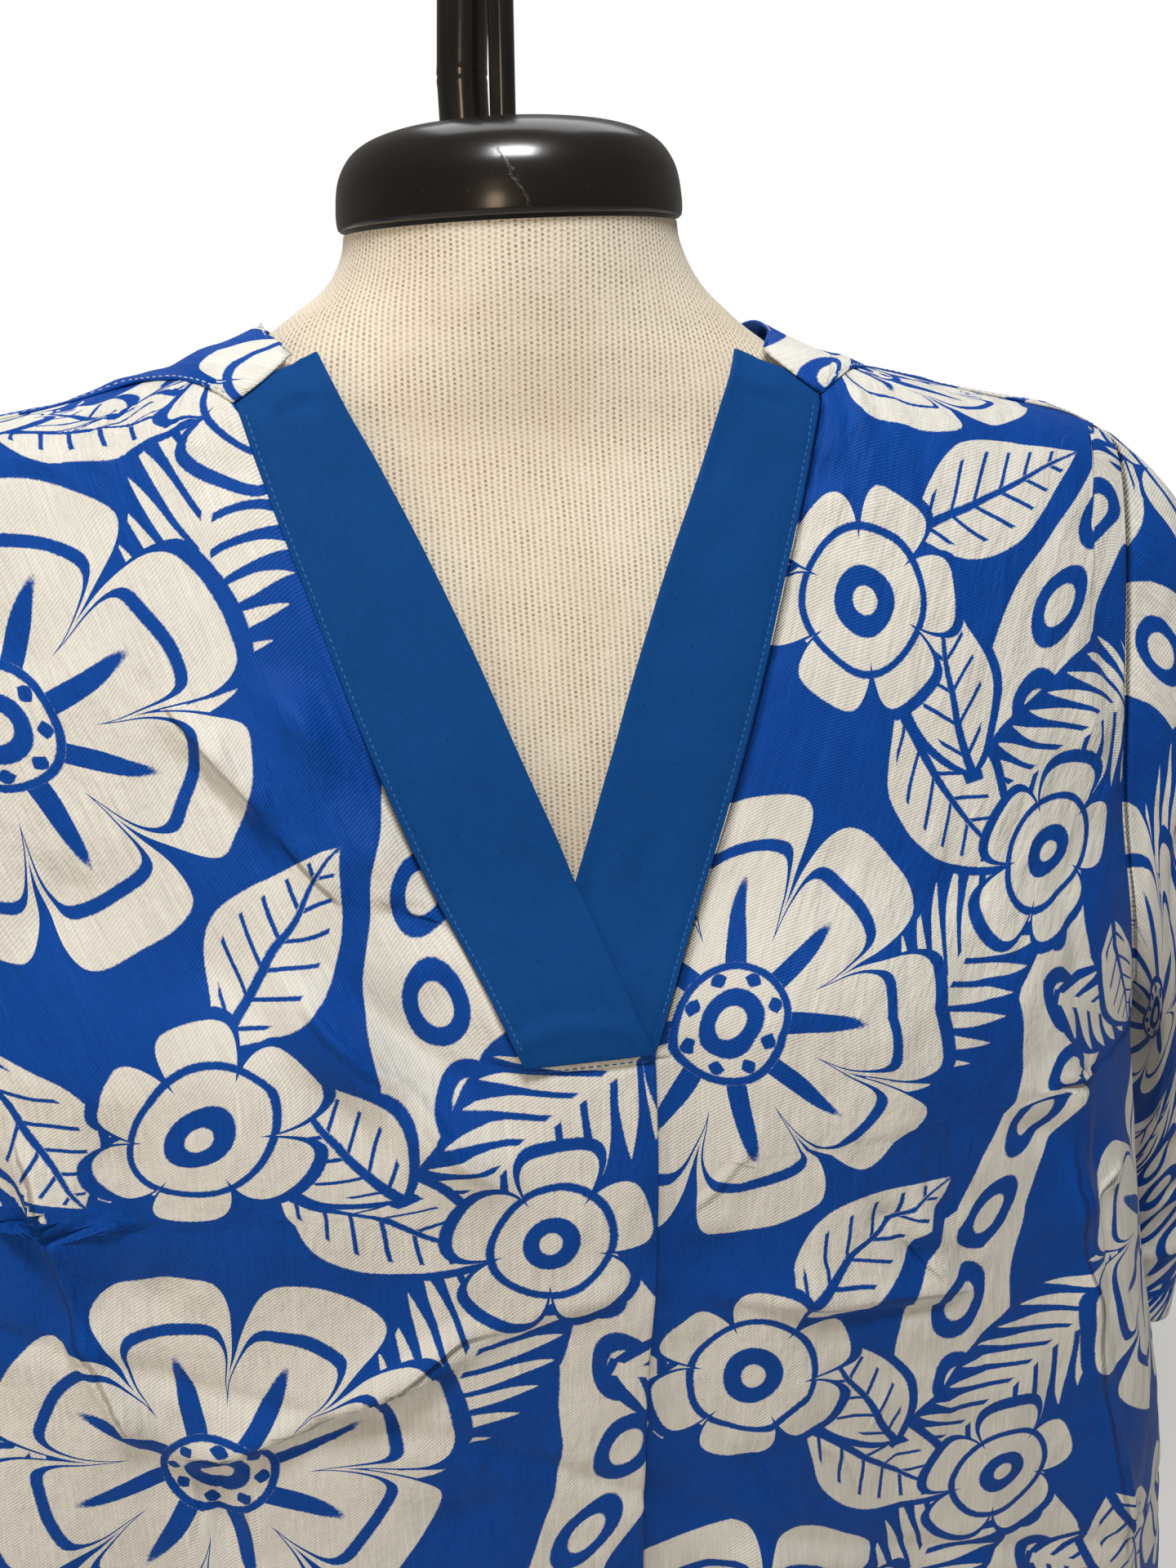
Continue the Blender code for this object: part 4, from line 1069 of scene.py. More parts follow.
def plain_cotton():
    mat, tree, bsdf, m = new_material("plain_cotton")
    coords = cloth_coords(tree)
    u, v = split(tree, m, coords)
    warp = (u * (2 * math.pi / 0.00058)).sin()
    weft = (v * (2 * math.pi / 0.00062)).sin()
    weave = warp * weft
    streak = V(m, noise(tree, coords, 1.0, 2.0, 0.5, stretch=(1700.0, 110.0, 1)))
    cross = V(m, noise(tree, coords, 1.0, 2.0, 0.5, stretch=(110.0, 1700.0, 1)))
    cloud = V(m, noise(tree, coords, 45.0, 3.0, 0.6))
    fleck = V(m, noise(tree, coords, 420.0, 0.0, 0.5)).ramp(0.79, 0.83)
    # the weave term is painted shade, darker where the weave's bump sinks; streaks, cross bars, cloud and flecks are
    # the yarns' own colour
    yarn_tone_and_weave_shade = weave * 0.06 + (streak - 0.5) * 0.32 + (cross - 0.5) * 0.28 + (cloud - 0.5) * 0.26 + 1.0
    yarn_tone_and_weave_shade = yarn_tone_and_weave_shade - fleck * 0.22
    grey = tree.nodes.new("ShaderNodeCombineColor")
    for k in range(3):
        tree.links.new(yarn_tone_and_weave_shade.s, grey.inputs[k])
    colour = mix_colour(tree, 1.0, (0.0040, 0.060, 0.235), grey.outputs[0], "MULTIPLY")
    tree.links.new(colour, bsdf.inputs["Base Color"])
    height = weave * 0.5 + streak + cross
    tree.links.new(bump(tree, height, 0.30, 0.00012,
                        bump(tree, noise(tree, coords, 150.0, 3.0, 0.6), 0.25, 0.0004)),
                   bsdf.inputs["Normal"])
    bsdf.inputs["Roughness"].default_value = 0.70
    bsdf.inputs["Specular IOR Level"].default_value = 0.08
    bsdf.inputs["Sheen Weight"].default_value = 0.01
    bsdf.inputs["Sheen Roughness"].default_value = 0.5
    return mat


def knit_cover():
    """Cream rib knit: upright wales with a small hole between stitches, painted dark for the shade in it, and painted
    shade along the stitches and in the valleys between the wales.
    """
    mat, tree, bsdf, m = new_material("knit_cover")
    coords = cloth_coords(tree)
    wob = V(m, noise(tree, coords, 60.0, 2.0, 0.5))
    u, v = split(tree, m, coords)
    wale = 0.00205
    course = 0.00150
    uu = u + (wob - 0.5) * 0.0010
    wob2 = V(m, noise(tree, coords, 240.0, 1.0, 0.5))
    vv = v + (wob2 - 0.5) * 0.0006
    column = (uu / wale).floor()
    fu = (uu / wale).fract() - 0.5
    fv = (vv / course + column.mod(2) * 0.5).fract() - 0.5
    # hole between the wales, not the same size everywhere; its dark colour is painted shade
    size = V(m, noise(tree, coords, 70.0, 2.0, 0.6)).ramp(0.25, 0.75, 0.55, 1.25)
    each = V(m, noise(tree, coords, 700.0, 0.0, 0.5)).ramp(0.30, 0.70, 0.55, 1.25)
    hole = ((fu * fu) * 11.0 + (fv * fv) * 7.5).ramp(0.05, 1.15, 1.0, 0.0) * size * each
    valley = (fu.abs()).ramp(0.05, 0.42, 1.0, 0.0)
    stitch = ((vv / course + fu.abs() * 1.6).fract() - 0.5).abs()
    cloud = V(m, noise(tree, coords, 20.0, 3.0, 0.6))
    cream = mix_colour(tree, cloud.ramp(0.3, 0.7), (0.800, 0.690, 0.530), (0.860, 0.780, 0.625))
    # painted shade: stitches lighter where their bump rises, darker in the valleys between the wales
    relief_shade = stitch * 0.20 - valley * 0.10 + 0.955
    grey = tree.nodes.new("ShaderNodeCombineColor")
    for k in range(3):
        tree.links.new(relief_shade.s, grey.inputs[k])
    cream = mix_colour(tree, 1.0, cream, grey.outputs[0], "MULTIPLY")
    # painted shade in each hole
    colour = mix_colour(tree, (hole * 0.60).min(0.80), cream, (0.30, 0.205, 0.125))
    tree.links.new(colour, bsdf.inputs["Base Color"])
    height = stitch * 0.5 - hole * 0.9 - valley * 0.5
    tree.links.new(bump(tree, height, 0.55, 0.0004), bsdf.inputs["Normal"])
    bsdf.inputs["Roughness"].default_value = 0.92
    bsdf.inputs["Specular IOR Level"].default_value = 0.18
    bsdf.inputs["Sheen Weight"].default_value = 0.15
    bsdf.inputs["Sheen Roughness"].default_value = 0.6
    return mat


def black_gloss():
    mat, tree, bsdf, m = new_material("black_gloss")
    tc = tree.nodes.new("ShaderNodeTexCoord")
    coords = tc.outputs["Object"]
    cloud = V(m, noise(tree, coords, 22.0, 4.0, 0.6))
    speck = V(m, noise(tree, coords, 700.0, 0.0, 0.5)).ramp(0.76, 0.84)
    colour = mix_colour(tree, cloud.ramp(0.3, 0.75), (0.0075, 0.0054, 0.0038), (0.0125, 0.0086, 0.0060))
    colour = mix_colour(tree, speck * 0.12, colour, (0.06, 0.05, 0.042))
    # a hairline crack beside the middle of the front; its dark line is painted shade inside the crack, and its raised
    # edges are a little lighter
    s = tree.nodes.new("ShaderNodeSeparateXYZ")
    tree.links.new(coords, s.inputs[0])
    x, y, z = (V(m, o) for o in s.outputs)
    jag = V(m, noise(tree, coords, 320.0, 4.0, 0.7))
    line = (x + 0.0062 + (z - 0.778) * 0.55 - (jag - 0.5) * 0.0052).abs()
    ends = z.ramp(0.7705, 0.7725) * z.ramp(0.7895, 0.7865) * y.ramp(-0.030, -0.034)
    crack = line.ramp(0.00008, 0.00036, 1.0, 0.0) * ends
    lip = line.ramp(0.0003, 0.0008, 1.0, 0.0) * ends * (jag * 1.6).min(1.0)
    colour = mix_colour(tree, lip * 0.4, colour, (0.050, 0.038, 0.028))
    # painted shade inside the crack
    colour = mix_colour(tree, crack, colour, (0.0015, 0.0011, 0.0008))
    tree.links.new(colour, bsdf.inputs["Base Color"])
    rough = (cloud - 0.5) * 0.08 + speck * 0.06 + crack * 0.4 + 0.24
    tree.links.new(rough.s, bsdf.inputs["Roughness"])
    uneven = noise(tree, coords, 130.0, 2.0, 0.5)
    height = V(m, uneven) * 0.25 + lip * 0.5 - crack * 1.5
    tree.links.new(bump(tree, height, 0.30, 0.0003), bsdf.inputs["Normal"])
    bsdf.inputs["Coat Weight"].default_value = 0.30
    bsdf.inputs["Coat Roughness"].default_value = 0.16
    return mat


def black_metal():
    mat, tree, bsdf, m = new_material("black_metal")
    tc = tree.nodes.new("ShaderNodeTexCoord")
    coords = tc.outputs["Object"]
    brushed = V(m, noise(tree, coords, 1.0, 3.0, 0.6, stretch=(260.0, 260.0, 30.0)))
    colour = mix_colour(tree, brushed.ramp(0.35, 0.75), (0.0075, 0.0058, 0.0048), (0.017, 0.013, 0.0105))
    tree.links.new(colour, bsdf.inputs["Base Color"])
    rough = (brushed - 0.5) * 0.14 + 0.19
    tree.links.new(rough.s, bsdf.inputs["Roughness"])
    tree.links.new(bump(tree, brushed, 0.15, 0.0002), bsdf.inputs["Normal"])
    bsdf.inputs["Coat Weight"].default_value = 0.4
    bsdf.inputs["Coat Roughness"].default_value = 0.08
    return mat


def thread(name, colour):
    """Twisted sewing thread, with painted shade along its twist."""
    mat, tree, bsdf, m = new_material(name)
    tc = tree.nodes.new("ShaderNodeTexCoord")
    coords = tc.outputs["Object"]
    s = tree.nodes.new("ShaderNodeSeparateXYZ")
    tree.links.new(coords, s.inputs[0])
    x, y, z = (V(m, o) for o in s.outputs)
    twist = ((x + z * 1.3) * (2 * math.pi / 0.00042)).sin()
    # painted shade: lighter where the twist's bump rises, darker between its strands
    relief_shade = twist * 0.12 + 1.0
    grey = tree.nodes.new("ShaderNodeCombineColor")
    for k in range(3):
        tree.links.new(relief_shade.s, grey.inputs[k])
    tree.links.new(mix_colour(tree, 1.0, colour, grey.outputs[0], "MULTIPLY"), bsdf.inputs["Base Color"])
    tree.links.new(bump(tree, twist, 0.3, 0.0001), bsdf.inputs["Normal"])
    bsdf.inputs["Roughness"].default_value = 0.55
    return mat


PRINT = printed_cotton("printed_cotton")
PLAIN = plain_cotton()
KNIT = knit_cover()
GLOSS = black_gloss()
METAL = black_metal()
THREAD_BLUE = thread("thread_blue", (0.030, 0.155, 0.420))
THREAD_PALE = thread("thread_pale", (0.62, 0.66, 0.78))


# ----------------------------------------------------------------------------
# Front
# ----------------------------------------------------------------------------
def edge_in(h):
    return curve(BAND_OUTER[:, 0], BAND_OUTER[:, 1], h)


def angle_in(h):
    return angle_of_x(TOP, edge_in(h) + SEAM, h)


def angle_out(h):
    h = np.asarray(h, float)
    w, c, f, b, n = section(TOP, h)
    low = np.arcsin((SEAM / f) ** (n / 2))
    mid = angle_of_x(TOP, curve(ARMHOLE[:, 0], ARMHOLE[:, 1], h), h)
    return np.where(h >= ARM_TOP, 0.0, np.where(h <= UNDERARM, low, mid))


def angle_back(h):
    h = np.asarray(h, float)
    w, c, f, b, n = section(TOP, h)
    low = np.arcsin((SEAM / b) ** (n / 2))
    mid = angle_of_x(TOP, curve(ARMHOLE[:, 0], ARMHOLE[:, 1], h), h)
    return np.where(h <= UNDERARM, low, mid)


def seam_table():
    x, h = YOKE_FRONT[:, 0], YOKE_FRONT[:, 1]
    a = angle_in(h)
    s = (a - angle_of_x(TOP, x, h)) / (a - angle_out(h))
    s[0], s[-1] = 0.0, 1.0
    return s, h


SEAM_S, SEAM_H = seam_table()


def column_share(t):
    t = np.asarray(t, float)
    return t + 0.10 * np.sin(math.pi * t)


def front_point(s, h):
    return on_section(TOP, angle_in(h) * (1 - s) + angle_out(h) * s, h)


COLS = 96
ROWS_CHEST, ROWS_SKIRT = 78, 104
WELT = np.array([0.0, 0.7, 1.4, 2.0, 2.5, 3.0, 3.6, 4.6, 6.2, 8.6, 11.6, 15.0, 18.6, 22.4, 26.4, 30.6,
                 34.6, 38.4, 42.2, 46.0])
ROWS_MID = len(WELT) - 1


def front_heights(s):
    top = curve(SEAM_S, SEAM_H, s)[None, :]
    r = (np.arange(ROWS_CHEST + 1) / ROWS_CHEST)[:, None]
    a = top + (PLACKET - top) * r ** 0.85
    b = PLACKET - WELT[1:, None] + 0 * top
    r = (np.arange(1, ROWS_SKIRT + 1) / ROWS_SKIRT)[:, None]
    c = UNDERARM + (HEM - UNDERARM) * (0.62 * r + 0.38 * r ** 2.6) + 0 * top
    return np.concatenate([a, b, c])


def pleat_step(h):
    return PLEAT_STEP + PLEAT_OPEN * smooth(0, 1, (PLACKET - h) / (PLACKET - HEM))


def pleat_edge(h):
    """The crisp fold runs straight down, then drifts a little to the wearer's right."""
    return curve([87.0, 200.0, 326.0, 393.0, 434.0, 480.0, 516.0],
                 [17.0, 17.2, 17.7, 18.8, 20.9, 21.3, 21.3], h)


def under_layer(x, h):
    sunk = smooth(PLACKET + 60, PLACKET - 10, h)
    return -2 * pleat_step(h) * sunk * (1 - smooth(24, 78, x))


def front_detail(p, seed=3):
    """Everything that the front's cloth does beyond its largest folds."""
    x, h = p[..., 0], p[..., 2]
    az = np.abs(turn_of(p))
    d = fine_folds(p) + CREASE_GAIN * creases(x, h, FRONT_CREASES)
    d += gathers(x, h, curve(YOKE_FRONT[:, 0], YOKE_FRONT[:, 1], np.abs(x)), FRONT_GATHERS)
    d += puckers(x, h)
    d += rumple(az * 2.9 * np.sign(x), h, seed) * (0.55 + 0.45 * smooth(560, 430, h))
    d += welt(x, h)
    return d + hem_step(h, HEM)


def welt(x, h):
    """Narrow stitched fold of the front's own cloth right under the neck bands."""
    below = PLACKET - h
    up = smooth(-0.5, 0.1, below) * smooth(2.9, 2.3, below) * 0.55 \
        - 0.75 * np.exp(-((below - 3.1) / 0.75) ** 2)
    return up * smooth(25.0, 22.4, np.abs(x - 0.3))


def edge_hold(h, s):
    """Seams hold the cloth: detail fades out at the armhole and side seam."""
    return smooth(1.0, 0.975, s) * 0.8 + 0.2


S = column_share(np.arange(COLS + 1) / COLS)
HEIGHTS = front_heights(S)
front_base = front_point(S[None, :], HEIGHTS)
half_bases, half_grids = {}, {}
for sign in (-1, 1):
    base = front_base if sign > 0 else mirror_x(front_base)
    out = under_layer(base[..., 0], base[..., 2]) if sign > 0 else np.zeros(base.shape[:2])
    d = front_detail(base) * edge_hold(base[..., 2], S[None, :])
    # the first column lies against the neck band's seam
    d = d * np.where(base[..., 2] > PLACKET, smooth(-0.02, 0.035, S[None, :]) * 0.85 + 0.15, 1.0)
    q = clear_of_form(settle(base, out + d))
    half_bases[sign] = settle(base, out)
    half_grids[sign] = q if sign > 0 else q[:, ::-1]

left, right = half_grids[-1], half_grids[1]
u_right = along(half_bases[1], 1)
u_left = along(half_bases[-1], 1)


def height_along(base, pivot):
    """Cloth length up from the hem at each column, in mm."""
    d = along(base[::-1], 0)[::-1]
    return d


v_right, v_left = height_along(half_bases[1], 0), height_along(half_bases[-1], 0)
first = ROWS_CHEST
middle_rows = HEIGHTS[first:, 0]


def pleat_path(h):
    """(x, out) points across the pleat at height h."""
    step = pleat_step(h)
    e, b = pleat_edge(h), PLEAT_BACK
    r = 0.5 * step
    pts = [(x, 0.0) for x in np.linspace(-edge_in(h) - SEAM, e - r, 17)[1:]]
    for k in range(1, 7):
        a = math.pi / 2 - math.pi * k / 6
        pts.append((e - r + r * math.cos(a), -r + r * math.sin(a)))
    pts += [(x, -step) for x in np.linspace(e - r, b + r, 8)[1:]]
    for k in range(1, 5):
        a = math.pi / 2 + math.pi * k / 4
        pts.append((b + r + r * math.cos(a), -1.5 * step + r * math.sin(a)))
    pts += [(x, -2 * step) for x in np.linspace(b + r, edge_in(h) + SEAM, 10)[1:-1]]
    return pts


middle = []
for r, h in enumerate(middle_rows):
    hh = h - (SEAM if r == 0 else 0.0)
    path = np.array(pleat_path(h))
    p = on_section(TOP, angle_of_x(TOP, path[:, 0], hh), np.full(len(path), hh))
    p[:, 0] = path[:, 0]
    row = settle(p, path[:, 1] + front_detail(p))
    middle.append(np.concatenate([left[first + r, -1:], row, right[first + r, :1]]))
middle = np.array(middle)
mid_len = along(middle, 1)
u_mid = mid_len - mid_len[:, 17:18] * 0 - 20.0

sheets = Sheets()
full_left = -20.0 - u_left[:, ::-1]
sheets.add(left, np.stack([full_left, v_left[:, ::-1]], -1) * 0.001 + np.array((0.012, 0.0)))
sheets.add(middle, np.stack([u_mid, np.repeat(v_left[first:, :1], middle.shape[1], 1)], -1) * 0.001
           + np.array((0.012, 0.0)))
right_start = (mid_len[:, -1] - 20.0)
right_shift = np.concatenate([np.full(first, right_start[0]), right_start])
sheets.add(right, np.stack([u_right + right_shift[:, None], v_right], -1) * 0.001
           + np.array((0.012, 0.0)))
uv_full_left = np.stack([full_left, v_left[:, ::-1]], -1) * 0.001 + np.array((0.012, 0.0))
uv_full_right = np.stack([u_right + right_shift[:, None], v_right], -1) * 0.001 + np.array((0.012, 0.0))
for grid, uv, inner, nxt in ((left, uv_full_left, -1, -4), (right, uv_full_right, 0, 3)):
    n = grid_normals(grid)
    rows = slice(0, first + 1)
    under_band = [(0.5, 0.7), (1.2, 1.25), (3.0, 1.5), (6.0, 1.5)] if nxt > 0 else \
        [(0.5, 0.35), (1.2, 0.9), (3.0, 1.3), (6.0, 1.4)]
    sheets.add(*flange(grid[rows, inner], grid[rows, nxt], n[rows, inner], under_band,
                       uv[rows, inner], uv[rows, nxt]))
    sheets.add(*flange(grid[0], grid[3], n[0], [(0.5, 0.10), (1.6, 0.50), (4.5, 0.9)], uv[0], uv[3]))
middle_in = np.array((0.0, -1.0, 0.0))
uv_middle = np.stack([u_mid, np.repeat(v_left[first:, :1], middle.shape[1], 1)], -1) * 0.001 \
    + np.array((0.012, 0.0))
sheets.add(*flange(middle[0], middle[0] - np.array((0, 0, 1.0)), middle_in + 0 * middle[0],
                   [(0.25, 0.8), (0.8, 1.4), (4.0, 1.7)], uv_middle[0], uv_middle[0] - np.array((0, 0.001))))


def uv_of(x, h):
    """Cloth coordinates of a place on the front, as seen from the front."""
    grid, uv = (left, uv_full_left) if x < -20 else (right, uv_full_right)
    d = (grid[..., 0] - x) ** 2 + (grid[..., 2] - h) ** 2
    r, c = np.unravel_index(int(np.argmin(d)), d.shape)
    r, c = min(max(r, 1), d.shape[0] - 2), min(max(c, 1), d.shape[1] - 2)
    px, py = (grid[r, c + 1] - grid[r, c - 1])[[0, 2]], (grid[r + 1, c] - grid[r - 1, c])[[0, 2]]
    a, b = np.linalg.solve(np.stack([px, py], 1), np.array((x, h)) - grid[r, c][[0, 2]])
    return uv[r, c] + a * (uv[r, c + 1] - uv[r, c - 1]) + b * (uv[r + 1, c] - uv[r - 1, c])


PRINT_FRONT = printed_cotton("printed_cotton_front", creased=True)
front_panel = sheets.build("front_panel", PRINT_FRONT)
for group in range(PRESSED_GROUPS):
    keep_lines(front_panel, [([uv_of(x, h) for x, h in points], depth, width_l, width_r)
                             for g, points, depth, width_l, width_r in PRESSED if g == group], group)
thick(front_panel, CLOTH)
finish_piece(front_panel, "printed_cotton", "front")

# ----------------------------------------------------------------------------
# Yoke and back
# ----------------------------------------------------------------------------
NECK_N = len(YOKE_NECK)
COLS_FRONT = 9
COLS_HALF = NECK_N + COLS_FRONT
arm_back = float(curve(ARMHOLE[:, 0], ARMHOLE[:, 1], YOKE_BACK))


def yoke_top(i):
    """Upper edge of the yoke at column i (not only whole ones): half-width, signed drop."""
    i = np.asarray(i, float)
    neck_x = YOKE_NECK[:, 0]
    neck_w = drop_of(YOKE_NECK[:, 0], YOKE_NECK[:, 1], YOKE_NECK[:, 2])
    s = column_share(np.clip((i - NECK_N) / COLS_FRONT, 0, 1))
    h = curve(SEAM_S, SEAM_H, s)
    x_front = np.minimum(front_point(s, h)[..., 0], section(TOP, h)[0])
    w_front = drop_of(x_front, h, 1.0) + 0.03
    order = np.arange(NECK_N)
    x = curve(order, neck_x, np.minimum(i, NECK_N - 1))
    w = curve(order, neck_w, np.minimum(i, NECK_N - 1))
    t = np.clip(i - (NECK_N - 1), 0, 1)
    x_corner = np.full(i.shape, float(x_front.flat[0])) if i.ndim else x_front
    s0 = column_share(np.zeros(1))
    h0 = curve(SEAM_S, SEAM_H, s0)
    x0 = np.minimum(front_point(s0, h0)[..., 0], section(TOP, h0)[0])
    w0 = drop_of(x0, h0, 1.0) + 0.03
    x = x * (1 - t) + x0[0] * t
    w = w * (1 - t) + w0[0] * t
    return np.where(i >= NECK_N, x_front, x), np.where(i >= NECK_N, w_front, w)


def seam_x(i):
    return arm_back * np.sin(0.5 * math.pi * np.asarray(i, float) / COLS_HALF) ** 0.95


YOKE_ROWS = 64


def yoke_half():
    fine = np.concatenate([np.linspace(k, k + 1, 7)[:-1] for k in range(COLS_HALF)] + [[COLS_HALF]])
    t = (np.arange(YOKE_ROWS + 1) / YOKE_ROWS)[:, None]
    whole = np.minimum(fine, COLS_HALF - 1)
    x1, w1 = yoke_top(whole)
    x0 = seam_x(whole)
    h0 = YOKE_BACK + SEAM
    w0 = drop_of(x0, h0, -1.0)
    p = on_profile(x0 + (x1 - x0) * t ** 1.2, w0 + (w1 - w0) * t)
    # the last strip runs out to the armhole's edge
    h = h0 + (ARM_TOP - h0) * t[:, 0]
    x = curve(ARMHOLE[:, 0], ARMHOLE[:, 1], h)
    edge = on_section(TOP, angle_of_x(TOP, x, h), h, back=True)
    xe, we = yoke_top(np.array([float(COLS_HALF)]))
    edge[-1] = on_profile(xe, we)[0]
    k = np.clip(fine - (COLS_HALF - 1), 0, 1)[None, :, None]
    return p * (1 - k) + edge[:, None, :] * k, fine


yoke_base, yoke_fine = yoke_half()


def yoke_detail(p):
    x, y, h = p[..., 0], p[..., 1], p[..., 2]
    d = 0.55 * rumple(x, y + h * 0.6, 40)
    # small drag lines along the shoulders
    for at, amp, half in ((118, 0.8, 5), (131, -0.9, 5), (150, 0.9, 6), (172, -0.8, 7), (196, 0.8, 7)):
        side = np.where(x > 0, 1.0, 1.12)
        d += amp * np.exp(-((np.abs(x) * side - at - 0.25 * (y + 12)) / half) ** 2) * smooth(690, 712, h)
    return d


yoke_halves = {}
for sign in (-1, 1):
    base = yoke_base if sign > 0 else mirror_x(yoke_base)
    fade = smooth(1.0, 0.97, yoke_fine / COLS_HALF)[None, :] * 0.9 + 0.1
    t = (np.arange(YOKE_ROWS + 1) / YOKE_ROWS)[:, None]
    fade = fade * (smooth(0, 0.05, t) * smooth(1.0, 0.93, t) * 0.85 + 0.15)
    yoke_halves[sign] = settle(base, yoke_detail(base) * fade + 0.45)
yoke_grid = np.concatenate([yoke_halves[-1][:, :0:-1], yoke_halves[1]], 1)
uv_u = along(yoke_grid, 1)
uv_u = uv_u - uv_u[:, (uv_u.shape[1] // 2):(uv_u.shape[1] // 2 + 1)]
uv_v = along(yoke_grid, 0)
sheets = Sheets()
sheets.add(yoke_grid, np.stack([uv_u, uv_v], -1) * 0.001 + np.array((0.296, 0.080)))
yoke_panel = sheets.build("yoke_panel", PRINT)
thick(yoke_panel, CLOTH)
finish_piece(yoke_panel, "printed_cotton", "yoke")

BACK_CHEST, BACK_SKIRT = 52, 104
back_fine = np.linspace(0, 1, 101)


def back_heights():
    a = YOKE_BACK - SEAM + (UNDERARM - YOKE_BACK + SEAM) * np.arange(BACK_CHEST + 1) / BACK_CHEST
    b = UNDERARM + (HEM - UNDERARM) * np.arange(1, BACK_SKIRT + 1) / BACK_SKIRT
    return np.concatenate([a, b])


bh = back_heights()
edge = angle_back(bh)[:, None]
share = np.sin(0.5 * math.pi * back_fine ** 0.9)[None, :] * 0.6 + 0.4 * back_fine[None, :]
share[0, -1] = 1.0
back_half = on_section(TOP, math.pi / 2 + (edge - math.pi / 2) * share, bh[:, None] + 0 * share, back=True)
back_half[:, 0, 0] = 0.0


def back_detail(p):
    x, h = p[..., 0], p[..., 2]
    d = fine_folds(p) + creases(x, h, BACK_CREASES)
    d += gathers(x, h, YOKE_BACK, BACK_GATHERS)
    d += rumple((180 - np.abs(turn_of(p))) * 2.7 * np.sign(x), h, 17) * 0.9
    return d + hem_step(h, HEM)


back_sides = {}
for sign in (-1, 1):
    base = back_half if sign > 0 else mirror_x(back_half)
    d = back_detail(base) * (smooth(1.0, 0.975, share) * 0.8 + 0.2)
    back_sides[sign] = clear_of_form(settle(base, d))
back_grid = np.concatenate([back_sides[1][:, :0:-1], back_sides[-1]], 1)
uv_u = along(back_grid, 1)
mid_col = back_grid.shape[1] // 2
uv_u = uv_u - uv_u[:, mid_col:mid_col + 1]
uv_v = along(back_grid[::-1], 0)[::-1]
sheets = Sheets()
sheets.add(back_grid, np.stack([uv_u, uv_v], -1) * 0.001 + np.array((0.114, 0.040)))
uv_back = np.stack([uv_u, uv_v], -1) * 0.001 + np.array((0.114, 0.040))
n = grid_normals(back_grid)
sheets.add(*flange(back_grid[0], back_grid[3], n[0], [(0.6, 0.5), (1.6, 0.9), (4.5, 1.1)],
                   uv_back[0], uv_back[3]))
rows = slice(BACK_CHEST, None)
for col, nxt in ((0, 3), (-1, -4)):
    sheets.add(*flange(back_grid[rows, col], back_grid[rows, nxt], n[rows, col],
                       [(0.5, 0.6), (1.2, 1.0), (4.5, 1.1)], uv_back[rows, col], uv_back[rows, nxt]))
back_panel = sheets.build("back_panel", PRINT)
thick(back_panel, CLOTH)
finish_piece(back_panel, "printed_cotton", "back")


# ----------------------------------------------------------------------------
# Neck bands
# ----------------------------------------------------------------------------
BAND_ROWS, BAND_COLS = 116, 24


def band_points(sign, lift, raised=0.0):
    t = (np.arange(BAND_ROWS + 1) / BAND_ROWS)[:, None]
    u = (np.arange(BAND_COLS + 1) / BAND_COLS)[None, :]      # 0 at the outer edge
    seam_top = BAND_OUT_TOP + (BAND_IN_TOP - BAND_OUT_TOP) * u - 0.4
    top = seam_top + 5.0 - 3.6 * u
    h = top + (PLACKET + SEAM - top) * t
    outer = edge_in(h) - SEAM + 0.25 * np.maximum(h - BAND_OUT_TOP, 0)
    inner = (h - V_POINT) * V_SLOPE + curve(BAND_BOW[:, 0], BAND_BOW[:, 1 if sign < 0 else 2], h)
    x = outer + (inner - outer) * u
    p = on_section(TOP, angle_of_x(TOP, x, h), h)
    p[..., 0] = x * sign
    wide = np.abs(outer - inner)
    from_edge = wide * u
    out = lift * smooth(640, 590, h) if lift else np.full(h.shape, -0.3)
    # dent of the topstitching, soft roll of the folded edge, slight unevenness
    out = out - 0.55 * np.exp(-((from_edge - 1.9) / 0.75) ** 2)
    out = out + 0.25 * np.exp(-((wide - from_edge - 1.6) / 1.8) ** 2)
    out = out + 0.30 * value_noise(h, from_edge * 1.6, 17, 60 + sign) * smooth(0, 6, from_edge) \
        * smooth(0, 4, wide - from_edge)
    if sign < 0:
        # soft arc where the layers fold over each other near the bottom
        arc = h - (527.5 - 0.012 * (p[..., 0] + 5) ** 2)
        out = out + 0.9 * np.exp(-(arc / 2.4) ** 2) * smooth(24, 14, np.abs(p[..., 0] + 6)) \
            - 0.5 * np.exp(-((arc - 5) / 3.0) ** 2) * smooth(24, 12, np.abs(p[..., 0] + 6))
    else:
        out = out + 0.5 * np.exp(-((h - 700 - 0.3 * from_edge) / 3.0) ** 2) * smooth(30, 8, from_edge)
    # a small loose fold under the yoke's edge, then the end goes under the yoke
    fold = h - seam_top + 5.2 + 14.0 * (u - 0.55) ** 2
    out = out + (0.9 * np.exp(-(fold / 1.3) ** 2) - 0.5 * np.exp(-((fold + 2.6) / 1.8) ** 2)) \
        * np.exp(-((u - 0.55) / 0.22) ** 4)
    under = smooth(-1.6, 0.6, h - seam_top) * smooth(0.80, 0.70, u)
    out = out * (1 - under) - 0.85 * under
    return settle(p, out + raised), h, from_edge


